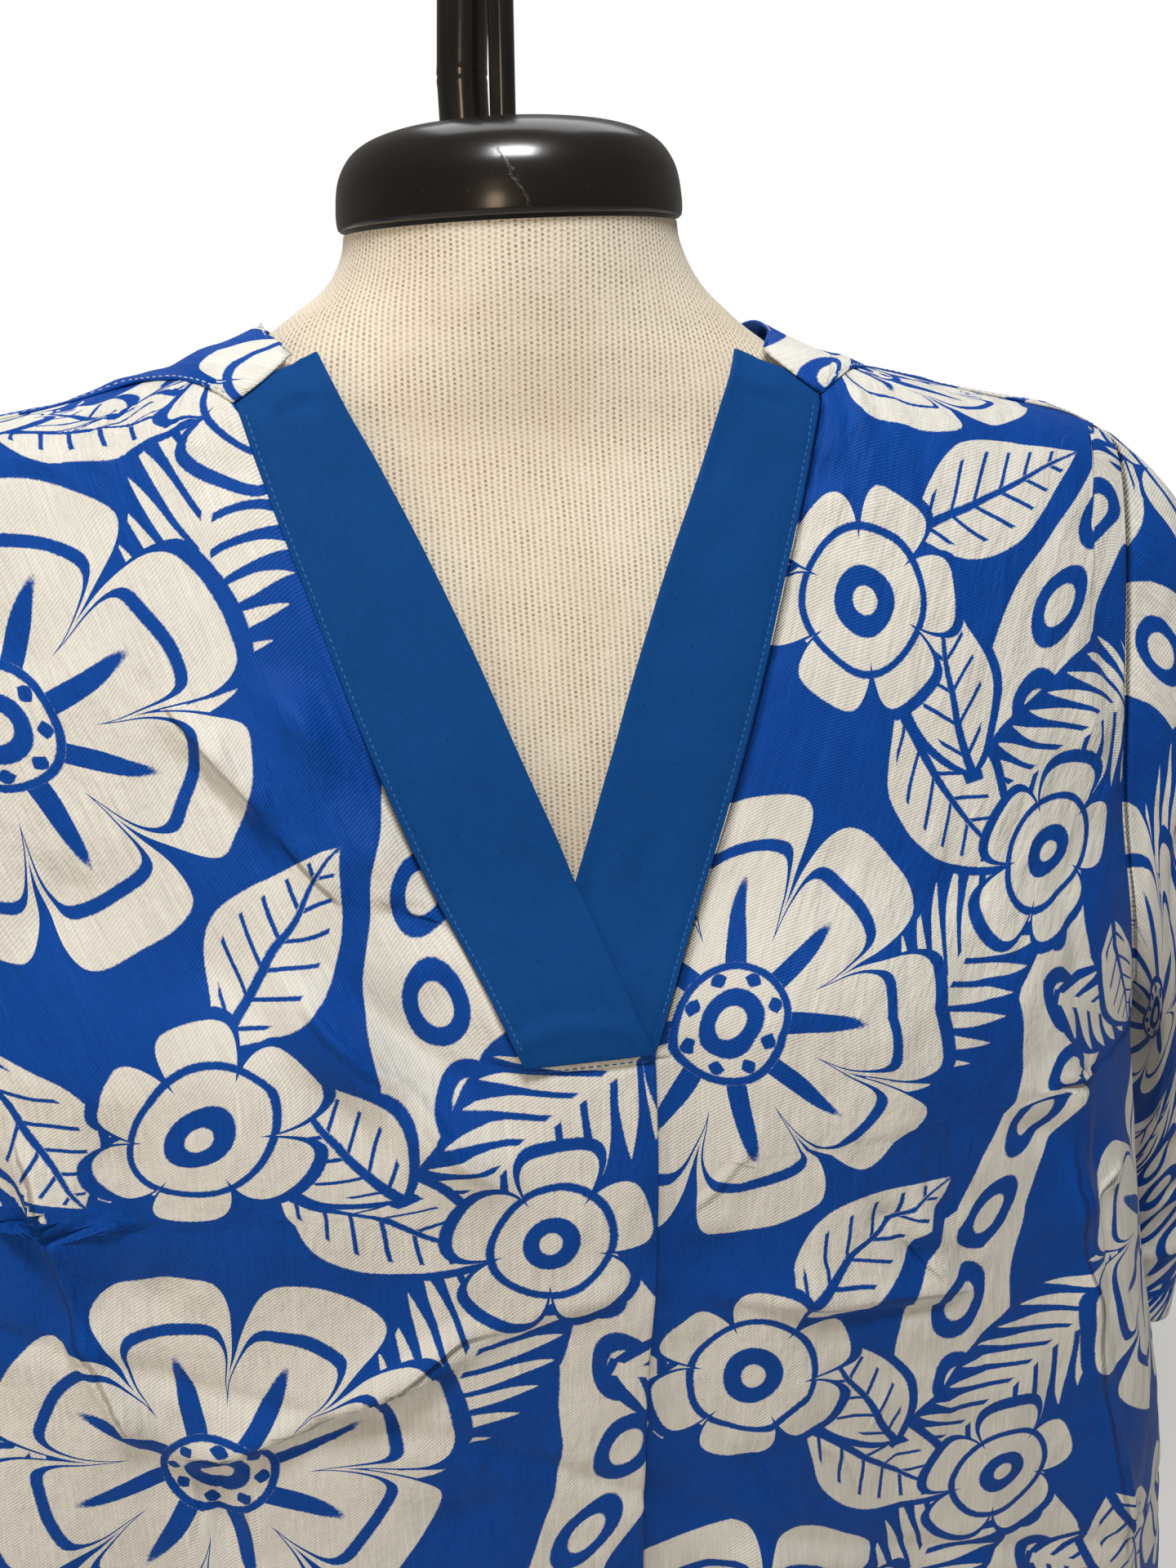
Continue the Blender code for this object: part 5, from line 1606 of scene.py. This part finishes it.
for name, sign, lift in (("neck_band_upper", -1, LAP), ("neck_band_lower", 1, 0.0)):
    p, h, from_edge = band_points(sign, lift)
    if sign > 0:
        p, from_edge = p[:, ::-1], from_edge[:, ::-1]
    v = along(p, 0)
    sheets = Sheets()
    sheets.add(p, np.stack([from_edge * 1.0, v], -1) * 0.001 + (0.3 if sign > 0 else 0.0))
    ob = sheets.build(name, PLAIN)
    thick(ob, BAND)
    soft = ob.modifiers.new("Edge", "BEVEL")
    soft.width = 0.00034
    soft.segments = 2
    soft.limit_method = "ANGLE"
    soft.angle_limit = math.radians(50)
    finish_piece(ob, "plain_cotton", "band_upper" if sign < 0 else "band_lower")


# ----------------------------------------------------------------------------
# Sleeves
# ----------------------------------------------------------------------------
SLEEVE_ROWS = 132


def thin_out(p, n):
    """n points along a line of points, at equal distances."""
    d = np.concatenate([[0], np.cumsum(np.linalg.norm(np.diff(p, axis=0), axis=1))])
    at = np.linspace(0, d[-1], n)
    return np.stack([np.interp(at, d, p[:, k]) for k in range(3)], -1)


def armhole_loop(sign):
    """The armhole's edge without the small detail: front down, back up, yoke over."""
    base = front_base if sign > 0 else mirror_x(front_base)
    n = ROWS_CHEST + ROWS_MID + 1
    f = settle(base[:n, -1:])[:, 0]
    rear = back_half if sign > 0 else mirror_x(back_half)
    b = settle(rear[:BACK_CHEST + 1, -1:])[:, 0]
    over = yoke_base if sign > 0 else mirror_x(yoke_base)
    y = settle(over[:, -1:])[:, 0]
    f, b, y = thin_out(f, 56), thin_out(b, 36), thin_out(y, 24)
    loop = np.concatenate([f, b[::-1][1:], y[1:-1]])
    loop[:, 0] = np.abs(loop[:, 0])
    return loop


def sleeve_surface(sign):
    loop = armhole_loop(sign)
    # the middle and the angles are those of the solid's own loop
    mid = np.array((233.0, -2.0, 590.0)) if False else loop.mean(0)
    a = np.arctan2(-(loop[:, 1] - mid[1]) / 78.0, (loop[:, 2] - mid[2]) / 116.0)
    up = 0.5 + 0.5 * np.cos(a)
    end = np.stack([331.0 + 26.0 * np.cos(a), 74.0 - 78.0 * np.sin(a), SLEEVE_HEM + 6.0 * np.cos(a)], -1)
    gap = np.linalg.norm(end - loop, axis=1)[:, None]
    start = np.stack([0.84 + 0.08 * up, -0.10 * np.sin(a), -0.54 + 0.12 * up], -1)
    start /= np.linalg.norm(start, axis=1)[:, None]
    away = start.copy()
    start = start * gap * (0.36 + 0.28 * up)[:, None]
    finish = np.array((0.04, 0.10, -1.0))
    finish = finish / np.linalg.norm(finish) * gap * (0.9 + 0.3 * up)[:, None]
    t = ((np.arange(SLEEVE_ROWS + 1) / SLEEVE_ROWS) ** 0.95)[:, None, None]
    h00, h10 = 2 * t ** 3 - 3 * t ** 2 + 1, t ** 3 - 2 * t ** 2 + t
    h01, h11 = -2 * t ** 3 + 3 * t ** 2, t ** 3 - t ** 2
    q = loop * h00 + start * h10 + end * h01 + finish * h11
    q = q + (away * 2.0 * SEAM + np.stack([1.9 * (1 - up), 0 * up, 0 * up], -1)) * (1 - t)
    out = np.stack([np.cos(a), -np.sin(a), 0 * a], -1)
    tt = t[..., 0]
    big = sum(amp * np.exp(-((tt - at) / half) ** 2) * (0.65 + 0.35 * np.sin(2 * a + 9 * at))
              for at, amp, half in SLEEVE_FOLDS)
    q = q + out * big[..., None]
    return q, a, tt


def surface_normals(q):
    """Unit normals of a closed grid of rings."""
    du = np.roll(q, -1, 1) - np.roll(q, 1, 1)
    dv = np.gradient(q, axis=0)
    n = np.cross(du, dv)
    size = np.linalg.norm(n, axis=-1, keepdims=True)
    return n / np.maximum(size, 1e-9)


def sleeve_detail(a, t, q, seed):
    deg = np.degrees(a) % 360
    d = np.zeros(np.broadcast(a, t).shape)
    for share_at, amp, half, centre, half_angle, slant in SLEEVE_CREASES:
        off = (deg - centre + 180) % 360 - 180
        s = t - share_at - slant * off / 90 - 0.006 * np.sin(off / 11.0 + 9 * share_at)
        d += amp * np.exp(-(s / half) ** 2) * np.exp(-(off / half_angle) ** 4)
    for centre, far, depth, half in SLEEVE_HEAD:
        off = (deg - centre + 180) % 360 - 180
        d += depth * np.exp(-(off / (half * (1 + 3 * t / far * 0.3))) ** 2) * np.exp(-(t / far) ** 2) \
            * smooth(0.0, 0.02, t)
    d += 0.9 * rumple(deg * 1.35, t * 470, seed)
    d *= smooth(0.0, 0.045, t)
    return d


sleeves, sleeve_grids = {}, {}
for name, sign in (("sleeve_left_panel", 1), ("sleeve_right_panel", -1)):
    q, a, t = sleeve_surface(sign)
    n = surface_normals(q)
    if (n * (q - q.mean(1, keepdims=True))).sum() < 0:
        n = -n
    hem_up = np.linalg.norm(q - q[-1], axis=-1)
    d = sleeve_detail(a[None, :], t, q, 71 + sign)
    # under the arm the cloth stays off the body's side
    inner = smooth(-0.2, -0.75, np.cos(a))[None, :] * smooth(0.55, 0.1, t)
    d = d * (1 - 0.85 * inner)
    d = d + 0.35 * smooth(21.0, 18.6, hem_up) - 0.45 * np.exp(-((hem_up - 19.6) / 1.3) ** 2)
    q = q + n * d[..., None]
    grid = q if sign > 0 else mirror_x(q)[:, ::-1]
    ring = np.concatenate([grid, grid[:, :1]], 1)          # a seam column closes the print
    start_col = int(np.argmin(np.abs(np.cos(a) + 1)))      # the seam runs under the arm
    if sign < 0:
        start_col = len(a) - 1 - start_col
    ring = np.roll(grid, -start_col, 1)
    ring = np.concatenate([ring, ring[:, :1]], 1)
    uv_u = along(ring, 1)
    uv_u = uv_u - uv_u[:, -1:] / 2
    uv_v = along(ring, 0).mean(1, keepdims=True) * 0.5 + along(ring, 0) * 0.5
    uv = np.stack([uv_u, -uv_v], -1) * 0.001 + np.array((0.04 + 0.07 * sign, 0.62))
    sheets = Sheets()
    sheets.add(ring, uv)
    # the same places on the body's edge, and how the body's cloth runs on from there
    edge = armhole_loop(sign)
    body_n = normal_at(edge)
    run = edge - edge.mean(0)
    run -= body_n * (run * body_n).sum(1)[:, None]
    run /= np.linalg.norm(run, axis=1)[:, None]
    under = []
    for far, deep in ((-0.2, 0.55), (0.9, 1.05), (3.2, 1.25)):
        strip = edge + run * far - body_n * deep
        strip = strip if sign > 0 else mirror_x(strip)[::-1]
        strip = np.roll(strip, -start_col, 0)
        under.append(np.concatenate([strip, strip[:1]]))
    under = np.stack([ring[0]] + under, 0)
    uv_under = np.stack([uv[0] + np.array((0, 0.001 * k)) for k in (0, 1.2, 2.4, 4.8)], 0)
    sheets.add(under, uv_under)
    ob = sheets.build(name, PRINT)
    thick(ob, CLOTH)
    finish_piece(ob, "printed_cotton", "sleeve_left" if sign > 0 else "sleeve_right")
    sleeves[sign], sleeve_grids[sign] = ob, grid

# ----------------------------------------------------------------------------
# Stitching
# ----------------------------------------------------------------------------
def resample(line, pitch, start=0.0):
    d = np.concatenate([[0], np.cumsum(np.linalg.norm(np.diff(line, axis=0), axis=1))])
    at = np.arange(start, d[-1] - 0.5 * pitch, pitch)
    return np.stack([np.interp(at, d, line[:, k]) for k in range(3)], -1), at / d[-1]


def stitches(name, lines, mat, slot, pitch=3.0, length=2.25, wide=0.42, high=0.30, seed=5):
    """Short raised stitches along lines of (points, normals), joined in one mesh."""
    rng = np.random.RandomState(seed)
    rings, sides = 5, 6
    k = np.linspace(-1, 1, rings)
    shape = np.sqrt(np.maximum(0.0, 1 - k ** 4)) * 0.85 + 0.15
    ang = 2 * math.pi * np.arange(sides) / sides
    verts, faces, base = [], [], 0
    for points, normals in lines:
        points, normals = np.asarray(points), np.asarray(normals)
        p, f = resample(points, pitch, 0.8)
        step = np.linspace(0, 1, len(points))
        d = np.concatenate([[0], np.cumsum(np.linalg.norm(np.diff(points, axis=0), axis=1))])
        n = np.stack([np.interp(f * d[-1], d, normals[:, j]) for j in range(3)], -1)
        n /= np.linalg.norm(n, axis=1)[:, None]
        ahead = np.gradient(p, axis=0) if len(p) > 1 else np.ones_like(p)
        ahead -= n * (ahead * n).sum(1)[:, None]
        ahead /= np.linalg.norm(ahead, axis=1)[:, None]
        side = np.cross(n, ahead)
        for c, a, s, up in zip(p, ahead, side, n):
            yaw = rng.uniform(-0.09, 0.09)
            a2 = a * math.cos(yaw) + s * math.sin(yaw)
            s2 = s * math.cos(yaw) - a * math.sin(yaw)
            half = 0.5 * length * rng.uniform(0.92, 1.06)
            sink = high * 0.15
            for kk, w in zip(k, shape):
                centre = c + a2 * kk * half + up * (high * 0.55 * (1 - kk ** 2) - sink)
                for t in ang:
                    verts.append(centre + s2 * (0.5 * wide * w * math.cos(t)) + up * (0.5 * high * w * math.sin(t)))
            for r in range(rings - 1):
                for j in range(sides):
                    j2 = (j + 1) % sides
                    faces.append((base + r * sides + j, base + r * sides + j2,
                                  base + (r + 1) * sides + j2, base + (r + 1) * sides + j))
            faces.append(tuple(base + j for j in range(sides))[::-1][:4])
            faces.append((base, base + 5, base + 4, base + 3))
            top = base + (rings - 1) * sides
            faces.append((top, top + 1, top + 2, top + 3))
            faces.append((top, top + 3, top + 4, top + 5))
            faces.pop(-4), faces.pop(-3)
            faces.append((base + 3, base + 2, base + 1, base))
            faces.append((base + 5, base + 4, base + 3, base))
            base += rings * sides
    ob = mesh_from(name, np.array(verts), np.array(faces), None, mat)
    return finish_piece(ob, slot)


def line_on(grid, row=None, col=None, lift=0.0, outward=None):
    n = grid_normals(grid)
    p = grid[row] if col is None else grid[:, col]
    m = n[row] if col is None else n[:, col]
    return p + m * lift, m


# band topstitching, just inside the outer edges and above the placket seam
band_lines = []
for sign, lift in ((-1, LAP), (1, 0.0)):
    p, h, from_edge = band_points(sign, lift)
    n = grid_normals(p)
    line, norm = [], []
    for r in range(BAND_ROWS + 1):
        k = np.interp(1.9, from_edge[r], np.arange(BAND_COLS + 1))
        i = int(min(k, BAND_COLS - 1))
        line.append(p[r, i] + (p[r, i + 1] - p[r, i]) * (k - i) + n[r, i] * (BAND / 2))
        norm.append(n[r, i])
    ends = slice(5, -3 if sign < 0 else -6)
    band_lines.append((np.array(line)[ends], np.array(norm)[ends]))
stitch_band = stitches("band_topstitching", band_lines, THREAD_BLUE, "plain_cotton", pitch=2.35, length=1.8, wide=0.46)

# stitching under the placket: a short row on the printed cloth, just below the bands
row_h = PLACKET - 1.9
xs = np.linspace(-21.5, 20.2, 60)
p = on_section(TOP, angle_of_x(TOP, xs, row_h), np.full(len(xs), row_h))
p[:, 0] = xs
n = normal_at(p)
p = settle(p, front_detail(p) + CLOTH / 2)
stitch_placket = stitches("placket_stitching", [(p, n)], THREAD_BLUE, "printed_cotton", pitch=2.6, length=1.9)

# yoke: stitching along its front seams and its neck edge
yoke_lines = []
yn = grid_normals(yoke_grid)
mid_y = yoke_grid.shape[1] // 2
if yn[YOKE_ROWS // 2, mid_y, 1] < 0:
    yn = -yn
half_cols = len(yoke_fine)
front_cols = [i for i, f in enumerate(yoke_fine) if NECK_N <= f <= COLS_HALF]
row_in = YOKE_ROWS - 2
for sign in (-1, 1):
    cols = [mid_y + sign * i for i in front_cols]
    line = np.array([yoke_grid[row_in, c] for c in cols])
    norm = np.array([yn[row_in, c] for c in cols])
    yoke_lines.append((line + norm * CLOTH / 2, norm))
neck_cols = [mid_y + i for i in range(-half_cols + 1, half_cols) if abs(yoke_fine[abs(i)]) <= NECK_N - 1]
line = np.array([yoke_grid[row_in, c] for c in neck_cols])
norm = np.array([yn[row_in, c] for c in neck_cols])
yoke_lines.append((line + norm * CLOTH / 2, norm))
back_line = yoke_grid[2, :]
yoke_lines.append((back_line + yn[2] * CLOTH / 2, yn[2]))
stitch_yoke = stitches("yoke_stitching", yoke_lines, THREAD_PALE, "printed_cotton", pitch=2.8, length=1.9, wide=0.55)

# hems
hem_lines = []
for grid in (left, right):
    k = int(np.argmin(np.abs(HEIGHTS[:, 0] - (HEM + 17))))
    hem_lines.append(line_on(grid, row=k, lift=CLOTH / 2))
k = int(np.argmin(np.abs(bh - (HEM + 17))))
hem_lines.append(line_on(back_grid, row=k, lift=CLOTH / 2))
stitch_hem = stitches("hem_stitching", hem_lines, THREAD_BLUE, "printed_cotton", pitch=3.1)
cuff_lines = {}
for sign in (1, -1):
    grid = sleeve_grids[sign]
    up_from_hem = np.linalg.norm(grid - grid[-1], axis=-1).mean(1)
    k = int(np.argmin(np.abs(up_from_hem - 19.6)))
    ring = np.concatenate([grid[k], grid[k][:1]])
    centre = ring.mean(0)
    n = surface_normals(grid)[k]
    if (n * (grid[k] - centre)).sum() < 0:
        n = -n
    n = np.concatenate([n, n[:1]])
    cuff_lines[sign] = (ring + n * CLOTH / 2, n)
stitch_cuffs = stitches("sleeve_hem_stitching", [cuff_lines[1], cuff_lines[-1]], THREAD_BLUE,
                        "printed_cotton", pitch=3.1)

# ----------------------------------------------------------------------------
# Dress form
# ----------------------------------------------------------------------------
SIDES = 220
form_h = np.concatenate([[0.0, 1.2, 3.0, 6.0], np.arange(12, 500, 6.0), np.arange(500, 768.9, 2.5), [769.0]])
ang = 2 * math.pi * np.arange(SIDES) / SIDES
w, c, f, b, n = (x[:, None] for x in section(FORM, form_h))
trim = (5.0 * (1 - smooth(0, 6, form_h)))[:, None]
w, f, b = w - trim, f - trim, b - trim
ca, sa = np.cos(ang)[None, :], np.sin(ang)[None, :]
x = w * np.sign(ca) * np.abs(ca) ** (2 / n)
y = np.sign(sa) * np.abs(sa) ** (2 / n)
y = c + np.where(y > 0, b, f) * y
z = form_h[:, None] + math.tan(math.radians(CAP_TILT)) * x * smooth(738, 764, form_h)[:, None]
rings = np.stack([x, y, z], -1)
torso = np.concatenate([rings, rings[:, :1]], 1)
uv_u = along(torso, 1)
uv_u = uv_u - uv_u[:, int(SIDES * 0.75)][:, None]
# wales run up the neck, so their number is the same at each height
wales = np.concatenate([ang, [2 * math.pi]])[None, :] * 105.0 + 0 * uv_u
neck = smooth(560, 700, form_h)[:, None]
uv_w = (np.concatenate([ang, [2 * math.pi]]) - 1.5 * math.pi)[None, :]
scale = curve([0, 300, 500, 620, 700, 770], [150, 120, 140, 112, 92, 66], form_h)[:, None]
uv_v = along(torso, 0)[:, int(SIDES * 0.75)][:, None] + 0 * uv_u
sheets = Sheets()
sheets.add(torso, np.stack([uv_u, uv_v], -1) * 0.001)
form_cover = sheets.build("form_torso_cover", KNIT)
caps = []
import bmesh
bm = bmesh.new()
bm.from_mesh(form_cover.data)
bm.verts.ensure_lookup_table()
open_edges = [e for e in bm.edges if e.is_boundary]
bmesh.ops.holes_fill(bm, edges=open_edges, sides=0)
bmesh.ops.recalc_face_normals(bm, faces=bm.faces)
bm.to_mesh(form_cover.data)
bm.free()
form_cover.data.set_sharp_from_angle(angle=math.radians(50))
finish_piece(form_cover, "knit_cover", "form_torso")

# Neck cap: a turned profile with a rolled lower lip
#   radius  height above the rim
CAP = np.array([(56.0, 0.9), (57.6, 0.15), (58.7, 0.5), (59.15, 1.6), (59.3, 4.0), (58.9, 9.0),
                (57.9, 14.5), (55.6, 19.6), (51.6, 24.2), (45.5, 27.6), (36.0, 30.1), (22.0, 31.6),
                (9.0, 31.95), (0.0, 32.0)])
length = np.concatenate([[0], np.cumsum(np.hypot(*np.diff(CAP, axis=0).T))])
fine = np.linspace(0, length[-1], 70)
pr, pz = curve(length, CAP[:, 0], fine), curve(length, CAP[:, 1], fine)
turns = 2 * math.pi * np.arange(144) / 144
lumps = 0.10 * np.sin(3 * turns + 1.0) + 0.06 * np.sin(7 * turns)
px = (pr[:, None] + lumps * smooth(2, 20, pr)[:, None]) * np.cos(turns)
py = (pr[:, None] + lumps * smooth(2, 20, pr)[:, None]) * np.sin(turns)
pz = pz[:, None] + 0 * px
tilt = -math.radians(CAP_TILT)
cap = np.stack([px * math.cos(tilt) + pz * math.sin(tilt), py,
                RIM - px * math.sin(tilt) + pz * math.cos(tilt)], -1)
sheets = Sheets()
sheets.add(np.concatenate([cap, cap[:, :1]], 1), np.zeros((*cap.shape[:1], cap.shape[1] + 1, 2)))
neck_cap = sheets.build("neck_cap_turned", GLOSS)
bm = bmesh.new()
bm.from_mesh(neck_cap.data)
bmesh.ops.dissolve_degenerate(bm, dist=1e-7, edges=bm.edges)
bmesh.ops.holes_fill(bm, edges=[e for e in bm.edges if e.is_boundary], sides=0)
bmesh.ops.recalc_face_normals(bm, faces=bm.faces)
bm.to_mesh(neck_cap.data)
bm.free()
for poly in neck_cap.data.polygons:
    poly.use_smooth = True
finish_piece(neck_cap, "black_gloss", "neck_cap")


def turned_bar(name, points, radii, node, sides=48):
    """Round bar through points, each with its own radius, ends rounded over."""
    points, radii = np.asarray(points, float), np.asarray(radii, float)
    ang = 2 * math.pi * np.arange(sides) / sides
    ring = np.stack([np.cos(ang), np.sin(ang), 0 * ang], -1)
    grid = points[:, None, :] + ring[None, :, :] * radii[:, None, None]
    sheets = Sheets()
    sheets.add(np.concatenate([grid, grid[:, :1]], 1), np.zeros((len(points), sides + 1, 2)))
    ob = sheets.build(name, METAL)
    bm = bmesh.new()
    bm.from_mesh(ob.data)
    bmesh.ops.holes_fill(bm, edges=[e for e in bm.edges if e.is_boundary], sides=0)
    bmesh.ops.recalc_face_normals(bm, faces=bm.faces)
    bm.to_mesh(ob.data)
    bm.free()
    ob.data.set_sharp_from_angle(angle=math.radians(45))
    return finish_piece(ob, "black_metal", node)


def bar_profile(z0, z1, radius, extras=()):
    """Heights and radii: small rounds at the ends, and (height, change, half) swellings."""
    z = np.concatenate([[z0, z0 + 0.15, z0 + 0.5], np.linspace(z0 + 1.0, z1 - 1.0, 60),
                        [z1 - 0.5, z1 - 0.15, z1]])
    r = radius - 0.8 * (1 - smooth(0, 1.0, z - z0)) ** 2 - 0.8 * (1 - smooth(0, 1.0, z1 - z)) ** 2
    for at, change, half in extras:
        r = r + change * np.exp(-((z - at) / half) ** 2)
    return z, r


z, r = bar_profile(RIM + 32.4, ROD_TOP, 4.35)
turned_bar("rod_bar", np.stack([-1.8 + 0 * z, 0 * z, z], -1), r, "rod")
foot = RIM + 32.1
joint = foot + 0.26 * (ROD_TOP - foot)
z, r = bar_profile(foot, ROD_TOP, 8.6, [(joint, -0.22, 0.5), (joint + 1.4, 0.12, 1.0), (joint - 1.4, 0.12, 1.0)])
lean = 2.0 * np.clip((z - joint) / (ROD_TOP - joint), 0, 1) + 0.5 * np.clip((joint - z) / (joint - foot), 0, 1)
turned_bar("stem_bar", np.stack([-13.5 + lean, 14.0 + 0 * z, z], -1), r, "stem")

# ----------------------------------------------------------------------------
# Studio
# ----------------------------------------------------------------------------
def area_light(name, place, target, size, power, colour=(1, 1, 1), size_y=None):
    data = bpy.data.lights.new(name, "AREA")
    data.shape = "RECTANGLE"
    data.size = size
    data.size_y = size_y or size
    data.energy = power
    data.color = colour
    ob = bpy.data.objects.new(name, data)
    ob.location = place
    ob.rotation_euler = (Vector(target) - Vector(place)).to_track_quat("-Z", "Y").to_euler()
    bpy.context.scene.collection.objects.link(ob)
    return ob


area_light("key", (-0.05, -0.57, 1.62), (0.01, -0.10, 0.56), 0.36, 10.8, (0.985, 0.990, 1.0), 0.24)
fill = area_light("fill", (-1.4, -0.75, 0.62), (0, 0, 0.45), 0.7, 3.7, (1.0, 0.885, 0.74))
fill.visible_glossy = False
area_light("window", (0.25, 0.95, 2.1), (0, 0.25, 0.60), 1.2, 7, (0.95, 0.975, 1.0), 1.2)
back_fill = area_light("back_fill", (-0.5, 2.0, 1.5), (0, 0.10, 0.42), 1.3, 34, (1.0, 0.985, 0.96), 1.0)
back_fill.visible_glossy = False
area_light("low_card", (-0.34, -1.05, 0.80), (0, 0, 0.78), 0.16, 1.6, (1.0, 0.74, 0.52), 0.44)

world = bpy.data.worlds.new("studio")
world.use_nodes = True
bpy.context.scene.world = world
tree = world.node_tree
bg = tree.nodes["Background"]
bg.inputs["Color"].default_value = (1.0, 0.955, 0.885, 1)
bg.inputs["Strength"].default_value = 0.150
white = tree.nodes.new("ShaderNodeBackground")
white.inputs["Color"].default_value = (1, 1, 1, 1)
white.inputs["Strength"].default_value = 1.0
path = tree.nodes.new("ShaderNodeLightPath")
mixer = tree.nodes.new("ShaderNodeMixShader")
tree.links.new(path.outputs["Is Camera Ray"], mixer.inputs[0])
tree.links.new(bg.outputs[0], mixer.inputs[1])
tree.links.new(white.outputs[0], mixer.inputs[2])
tree.links.new(mixer.outputs[0], tree.nodes["World Output"].inputs[0])

bpy.ops.mesh.primitive_circle_add(vertices=96, radius=2.4, fill_type="NGON", location=(0, 0, 0))
floor = bpy.context.active_object
floor.name = "floor"
mat, tree, bsdf, m = new_material("floor")
bsdf.inputs["Base Color"].default_value = (0.72, 0.715, 0.705, 1)
bsdf.inputs["Roughness"].default_value = 0.8
floor.data.materials.append(mat)

bpy.context.scene.view_settings.view_transform = "Standard"
